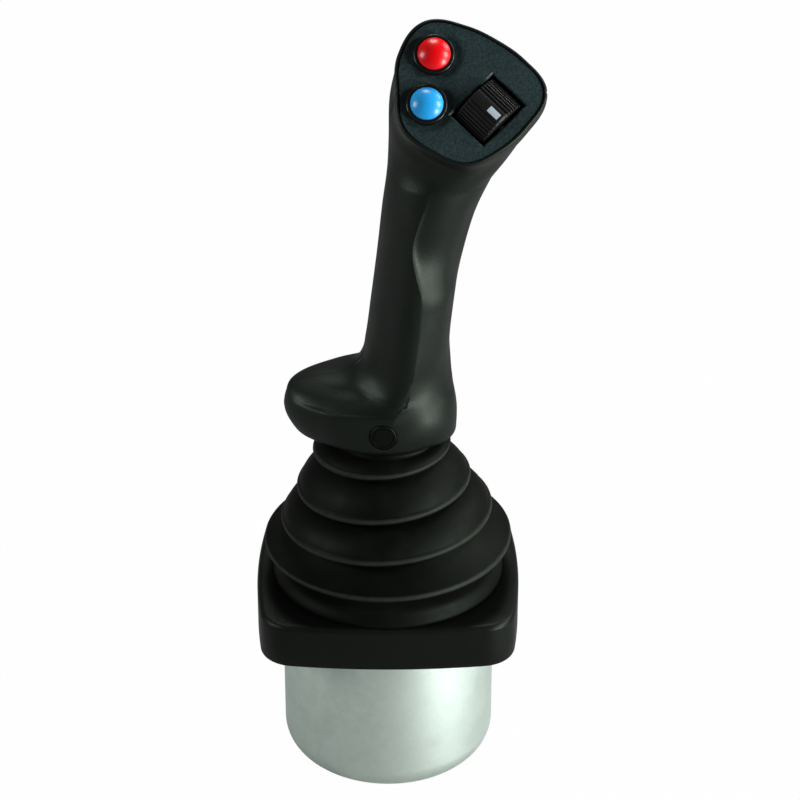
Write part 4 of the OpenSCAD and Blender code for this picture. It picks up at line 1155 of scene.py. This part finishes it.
def joined(name, *objects):
    """Several meshes as one piece."""
    work = bmesh.new()
    for obj in objects:
        work.from_mesh(obj.data)
        bpy.data.objects.remove(obj)
    mesh = bpy.data.meshes.new(name)
    work.to_mesh(mesh)
    work.free()
    whole = bpy.data.objects.new(name, mesh)
    bpy.context.scene.collection.objects.link(whole)
    return whole


roller = joined("roller_drum", roller_ribs(), roller_drum(), roller_land())
ROLLER_FRAME = face_frame(*ROLLER_AT, -ROLLER_DEPTH, ROLLER_TURN)
roller.data.transform(ROLLER_FRAME)
finish_piece(roller, "thumb_wheel", ["thumb_roller"], roller_plastic)
print("roller:", len(roller.data.polygons), "faces")

# %% [markdown]
# ## Index mark
# A small pale mark is printed on the roller's land, near its right end, to show where the
# middle of the travel is. It is a thin, curved leaf that lies on the land.

# %% Index mark
MARK_ALONG, MARK_LENGTH = 2.7, 4.3
MARK_TURN, MARK_HALF = -2.5, 6.3
MARK_LIFT, MARK_SUNK = 0.03, 0.1
mark_turns = np.radians(np.linspace(MARK_TURN - MARK_HALF, MARK_TURN + MARK_HALF, 9))
mark_outline = [(ROLLER_R + MARK_LIFT, t) for t in mark_turns]
mark_outline += [(ROLLER_R - MARK_SUNK, t) for t in mark_turns[::-1]]
mark_points = [
    (MARK_ALONG + side * MARK_LENGTH / 2, r * math.sin(t), r * math.cos(t))
    for side in (-1, 1) for r, t in mark_outline
]
mark = tidy_normals(new_object("roller_mark", mark_points, capped_faces(2, len(mark_outline))))
mark.data.transform(ROLLER_FRAME)
finish_piece(mark, "thumb_wheel", [], mark_paint)
print("index mark:", len(mark.data.polygons), "faces")

# %% [markdown]
# ## Plug
# A round plug closes the hole over the clamp's set screw. A groove inside its edge is the
# trace of the tool that made it.

# %% Plug
PLUG_L = 3
plug_profile = [
    (0, PLUG_FACE - PLUG_L), (PLUG_R - 0.05, PLUG_FACE - PLUG_L), (PLUG_R - 0.05, PLUG_FACE - 0.3),
    (PLUG_R - 0.35, PLUG_FACE), (PLUG_R - 1.0, PLUG_FACE), (PLUG_R - 1.15, PLUG_FACE - 0.25),
    (PLUG_R - 1.3, PLUG_FACE), (0, PLUG_FACE + 0.1),
]
plug = turned("clamp_plug_cap", plug_profile, plug_plastic, 72, PLUG_AT)
finish_piece(plug, "lever", ["clamp_plug"], plug_plastic)
print("plug:", len(plug.data.polygons), "faces")

# %% [markdown]
# ## Bellows
# Four skirts, each ending in a rounded lip, overlap like the tiles of a roof. The profile
# is written once, skirt by skirt, and cut in two at the valley under the third lip, into a
# lower and an upper half. Rubber never sits quite true, so a rule tips the upper lips to
# the left, by up to four and a half degrees.

# %% Bellows
LIP_RADII = [42.7, 36.4, 29.9, 23.5]
LIP_HEIGHTS = [14.6, 24.8, 37, 50.6]
DOME_FULL = [0.3, 0.66, 0.62, 0.6]
RUBBER_T, LIP_T = 1.8, 2.4
NECK_R, NECK_TOP = 15.5, GRIP_BOTTOM - 0.3
OPEN_R, CUFF_R, CUFF_H = 38, 40, 4
BEZEL_WALL = 2.6
# Where on each lip's round edge the painted highlight is strongest, and how far it reaches, in
# degrees.
HIGHLIGHT_MIDDLE, HIGHLIGHT_HALF = 12, 52
LEAN_HEIGHTS = [0, 5, 13.4, 23.6, 35.8, 49.4, 52, 54.7]
LEAN_ANGLES = [0, 0, 1.2, 3.8, 4.5, 3.4, 1.5, 0]
LEAN_SHIFTS = [0, 0, 0, -0.4, -1.4, -2.1, -1.2, 0]


def fold_end(i):
    """Where a skirt goes in under the next lip, or under the neck."""
    if i < len(LIP_RADII) - 1:
        return LIP_RADII[i + 1] - 3.6, LIP_HEIGHTS[i + 1] - LIP_T - 2.2
    return NECK_R + RUBBER_T + 0.6, NECK_TOP - 1.6


def bend(a, b, c, t):
    """A point on the smooth bend from a to c that leaves towards b."""
    return tuple((1 - t) ** 2 * p + 2 * t * (1 - t) * q + t * t * r for p, q, r in zip(a, b, c))


def dome(i, t):
    """A point of a skirt's dome, from its lip to the valley under the next lip."""
    r, h, end, full = LIP_RADII[i], LIP_HEIGHTS[i], fold_end(i), DOME_FULL[i]
    middle = (end[0] + (r - 1 - end[0]) * math.sqrt(full), h + (end[1] - h) * full)
    return bend((r - 0.8, h - 0.1), middle, end, t)


def skirt_outside(i):
    """A lip's bead from its underside, then the skirt up to the next valley."""
    bead = LIP_T / 2
    lip = arc(LIP_RADII[i] - bead, LIP_HEIGHTS[i] - bead, bead, -90, 48, 10)
    return lip + [dome(i, t) for t in np.linspace(0, 1, 15)]


def skirt_inside(i):
    """The inner wall under a skirt, from its valley back to its lip."""
    end = fold_end(i)
    valley = (end[0] - RUBBER_T, end[1] + 0.4) if i < len(LIP_RADII) - 1 else (NECK_R, end[1] - 1)
    wall = []
    for t in (0.85, 0.6, 0.35):
        r, h = dome(i, t)
        turn = math.pi / 2 * t
        wall.append((r - RUBBER_T * math.cos(turn), h - RUBBER_T * math.sin(turn)))
    return [valley, *wall, (LIP_RADII[i] - 2.6, LIP_HEIGHTS[i] - 0.6)]


def lip_highlight_share(r, h):
    """How much highlight is painted at a point: most a little above a lip's outermost point."""
    bead = LIP_T / 2
    near = [math.hypot(r - a + bead, h - b + bead) for a, b in zip(LIP_RADII, LIP_HEIGHTS)]
    i = near.index(min(near))
    turn = math.degrees(math.atan2(h - LIP_HEIGHTS[i] + bead, r - LIP_RADII[i] + bead))
    highlight_strength = max(0, 1 - ((turn - HIGHLIGHT_MIDDLE) / HIGHLIGHT_HALF) ** 2)
    return highlight_strength if near[i] < bead * 1.02 else 0.0


def half_bellows(name, skirts, foot, crown):
    """Turns some skirts between a foot and a crown, marks a painted highlight and tips the lips."""
    outside = [p for i in skirts for p in skirt_outside(i)]
    inside_wall = [p for i in skirts[::-1] for p in skirt_inside(i)]
    profile = [(r, BEZEL_H + h) for r, h in [*foot, *outside, *crown, *inside_wall]]
    piece = turned(name, profile, bellows_rubber, 224)
    lip_highlight = piece.data.attributes.new("lip_highlight", "FLOAT", "POINT")
    for v in piece.data.vertices:
        x, y, z = (c / MM for c in v.co)
        h = z - BEZEL_H
        # Marks where a pale highlight is painted on the lips.
        lip_highlight.data[v.index].value = lip_highlight_share(math.hypot(x, y), h)
        lean = math.radians(np.interp(h, LEAN_HEIGHTS, LEAN_ANGLES))
        shift = np.interp(h, LEAN_HEIGHTS, LEAN_SHIFTS)
        v.co = Vector((x * math.cos(lean) + shift, y, z + x * math.sin(lean))) * MM
    return piece


cuff = [
    (CUFF_R - 3.2, CUFF_H + 0.2), (OPEN_R - 2.4, CUFF_H - 1.5), (OPEN_R - 2.4, -BEZEL_WALL),
    (OPEN_R - 0.1, -BEZEL_WALL), (OPEN_R - 0.1, 0), (CUFF_R - 0.3, 0), (CUFF_R, 0.3),
    (CUFF_R - 0.1, 1.2), (CUFF_R - 0.6, 2.4), (CUFF_R - 1.4, CUFF_H - 0.4),
    (CUFF_R - 1.9, CUFF_H + 1), (CUFF_R - 1.6, CUFF_H + 3),
]
neck = [(NECK_R + RUBBER_T, NECK_TOP - 1), (NECK_R + RUBBER_T, NECK_TOP), (NECK_R, NECK_TOP)]
valley = fold_end(1)
throat = [(valley[0] - RUBBER_T, valley[1] + 0.4), valley]
lower = half_bellows("bellows_lower", [0, 1], cuff, [])
upper = half_bellows("bellows_upper", [2, 3], throat, neck)
SPLIT_Z = BEZEL_H + valley[1]
for piece, (a, b), (low_z, high_z) in (
    (lower, ("base", "yoke"), (BEZEL_H + 2, SPLIT_Z - 2)),
    (upper, ("yoke", "lever"), (SPLIT_Z + 2, BEZEL_H + NECK_TOP - 4)),
):
    finish_piece(piece, None, ["bellows"], bellows_rubber, math.radians(60))
    low_z * MM
    high_z * MM
    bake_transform(piece)
print("bellows:", len(lower.data.polygons), "+", len(upper.data.polygons), "faces")

# %% [markdown]
# ## Bezel
# The bezel's plan is four shallow arcs joined by round corners, and drawing that plan in
# by a distance gives every ring of the moulding: up the wall, over the rounded edge,
# across the top to the round opening, and back down the inside.

# %% Bezel
BEZEL_W, BEZEL_D = 91, 82
SIDE_BOW, CORNER_R, EDGE_R = 4, 12, 2
SIDE_STEPS, CORNER_STEPS = 16, 16


def bow_radius(span):
    """Radius of a side of this length that bows out by SIDE_BOW."""
    return span * span / (8 * SIDE_BOW) + SIDE_BOW / 2


def bezel_plan(inset):
    """The bezel's plan, drawn in by a distance, always with the same count of points."""
    w, d = BEZEL_W / 2 - inset, BEZEL_D / 2 - inset
    side_r, front_r = bow_radius(BEZEL_D), bow_radius(BEZEL_W)
    corner = max(1, CORNER_R - inset)
    cx, cy = w - side_r, d - front_r
    a, b, gap = side_r - corner, front_r - corner, math.hypot(cx, cy)
    reach = (a * a - b * b + gap * gap) / (2 * gap)
    off = math.sqrt(a * a - reach * reach)
    ux, uy = -cx / gap, cy / gap
    c = max((cx + reach * ux - s * off * uy, reach * uy + s * off * ux) for s in (-1, 1))
    side_a = math.degrees(math.atan2(c[1], c[0] - cx))
    front_a = math.degrees(math.atan2(c[1] - cy, c[0]))
    quarter = (
        arc(cx, 0, side_r, 0, side_a, SIDE_STEPS)[:-1]
        + arc(c[0], c[1], corner, side_a, front_a, CORNER_STEPS)
        + arc(0, cy, front_r, front_a, 90, SIDE_STEPS)[1:]
    )
    q = np.array(quarter)
    turn_back = q[-2:0:-1]
    return np.concatenate([q, turn_back * [-1, 1], -q, turn_back * [1, -1]])


def bezel_ring(inset, z, round_r=None):
    """The bezel's plan, drawn in, at a height, or the same points pulled onto a circle."""
    plan = bezel_plan(inset)
    if round_r:
        plan = plan / np.linalg.norm(plan, axis=1)[:, None] * round_r
    return np.column_stack([plan, np.full(len(plan), z)])


WALL_TOP, INNER_TOP = 6, BEZEL_H - BEZEL_WALL
rounding = [
    bezel_ring(EDGE_R * (1 - math.cos(t)), BEZEL_H - EDGE_R * (1 - math.sin(t)))
    for t in np.linspace(0, math.pi / 2, 11)
]
bezel_rings = [
    bezel_ring(0.5, 0), bezel_ring(0.15, 0.15), bezel_ring(0, 0.5), bezel_ring(0, WALL_TOP),
    *rounding,
    bezel_ring(EDGE_R, BEZEL_H, OPEN_R + 0.15), bezel_ring(EDGE_R, BEZEL_H - 0.15, OPEN_R),
    bezel_ring(EDGE_R, INNER_TOP, OPEN_R), bezel_ring(BEZEL_WALL + 1, INNER_TOP),
    bezel_ring(BEZEL_WALL, INNER_TOP - 1), bezel_ring(BEZEL_WALL, 0), bezel_ring(0.5, 0),
]
bezel_points = np.array(bezel_rings)
bezel = tidy_normals(new_object(
    "bezel_moulding", bezel_points.reshape(-1, 3), loop_faces(*bezel_points.shape[:2])))
finish_piece(bezel, "base", ["bezel"], bezel_plastic, math.radians(50))
print("bezel:", len(bezel.data.polygons), "faces")

# %% [markdown]
# ## Can
# The can is drawn from sheet: a plain wall, a generous corner, a flat floor with a hole
# for the cable, and a lip turned in under the mounting plate.

# %% Can
CAN_R, CAN_DEPTH, CAN_T, CAN_CORNER_R = 37, 56, 1.5, 9.5
LIP_WIDTH, LIP_ROUND, FLOOR_HOLE_R = 5.5, 0.8, 5.5
LIP_IN = CAN_R - LIP_WIDTH
wall_low = -CAN_DEPTH + CAN_CORNER_R
can_profile = [
    (LIP_IN, 0), *arc(CAN_R - LIP_ROUND, -LIP_ROUND, LIP_ROUND, 90, 0, 5),
    *arc(CAN_R - CAN_CORNER_R, wall_low, CAN_CORNER_R, 0, -90, 16),
    (FLOOR_HOLE_R, -CAN_DEPTH), (FLOOR_HOLE_R, -CAN_DEPTH + CAN_T),
    *arc(CAN_R - CAN_CORNER_R, wall_low, CAN_CORNER_R - CAN_T, -90, 0, 12),
    (CAN_R - CAN_T, -CAN_T), (LIP_IN, -CAN_T),
]
can = turned("can_drawing", can_profile, zinc_can, 192)
finish_piece(can, "base", ["can"], zinc_can)
print("can:", len(can.data.polygons), "faces")

# %% [markdown]
# ## Studio
# Everything stands on a pale floor. The floor glows white for the camera, and faintly for
# mirror rays, but keeps the object's shadow, and the world glows alike. So the light on
# the object can stay plain. It comes from five square soft boxes: one on each side, a low
# one in front at the right, one behind at the right, and one high up behind.

# %% Floor and backdrop
FLOOR_Z = -59.2
FLOOR_HALF = 4000
floor_points = [(x, y, FLOOR_Z) for x, y in ((-1, -1), (1, -1), (1, 1), (-1, 1))]
floor = new_object(
    "floor", [(x * FLOOR_HALF, y * FLOOR_HALF, z) for x, y, z in floor_points], [(0, 1, 2, 3)])
paper = Finish("white paper", (0.3, 0.3, 0.3), 0.9)
CAMERA_GLOW, MIRROR_GLOW = 0.99, 0.1


def glow_share(nodes):
    """How much a backdrop glows: for the camera and through glass, and less in a mirror."""
    seen = nodes.ray("Camera") + nodes.ray("Transmission")
    return seen * CAMERA_GLOW, nodes.ray("Glossy") * MIRROR_GLOW


seen, mirrored = glow_share(paper)
glow = paper.node("ShaderNodeEmission", None, (1, 1, 1, 1), 1.0)
lit = Link(paper, paper.shader.outputs[0])
mixed = paper.node("ShaderNodeMixShader", None, seen + mirrored, lit, glow)
paper.tree.links.new(mixed.socket, paper.tree.nodes["Material Output"].inputs["Surface"])
floor.data.materials.append(paper.material)
print("floor at z", FLOOR_Z, "mm")

# %% World and lamps
AMBIENT = 0.02
world = bpy.data.worlds.new("studio")
bpy.context.scene.world = world
world.use_nodes = True
sky = Nodes(world.node_tree)
seen, mirrored = glow_share(sky)
level = seen.maths("MAXIMUM", mirrored).maths("MAXIMUM", AMBIENT)
backdrop = sky.tree.nodes["Background"].inputs
sky.tree.links.new(level.socket, backdrop["Strength"])
backdrop["Color"].default_value = (1, 1, 1, 1)

LAMP_DISTANCE, LAMP_AIM = 900, (0, 0, 90)


def soft_box(name, turn, rise, size, power):
    """A square lamp: turn runs from the operator's side to the right, in degrees."""
    data = bpy.data.lights.new(name, "AREA")
    data.shape, data.energy, data.size = "SQUARE", power, size * MM
    turn, rise = math.radians(turn), math.radians(rise)
    away = Vector((math.sin(turn), -math.cos(turn), math.tan(rise))).normalized()
    lamp = bpy.data.objects.new(name, data)
    lamp.location = (Vector(LAMP_AIM) + away * LAMP_DISTANCE) * MM
    lamp.rotation_euler = (-away).to_track_quat("-Z", "Y").to_euler()
    bpy.context.scene.collection.objects.link(lamp)


soft_box("right box", 77, 24, 300, 5)
soft_box("left box", -77, 24, 300, 3.2)
soft_box("low right box", 56, -3, 200, 6)
soft_box("back right box", 120, 35, 300, 2)
soft_box("top box", 180, 60, 300, 3)
print("lamps:", len(bpy.data.lights))
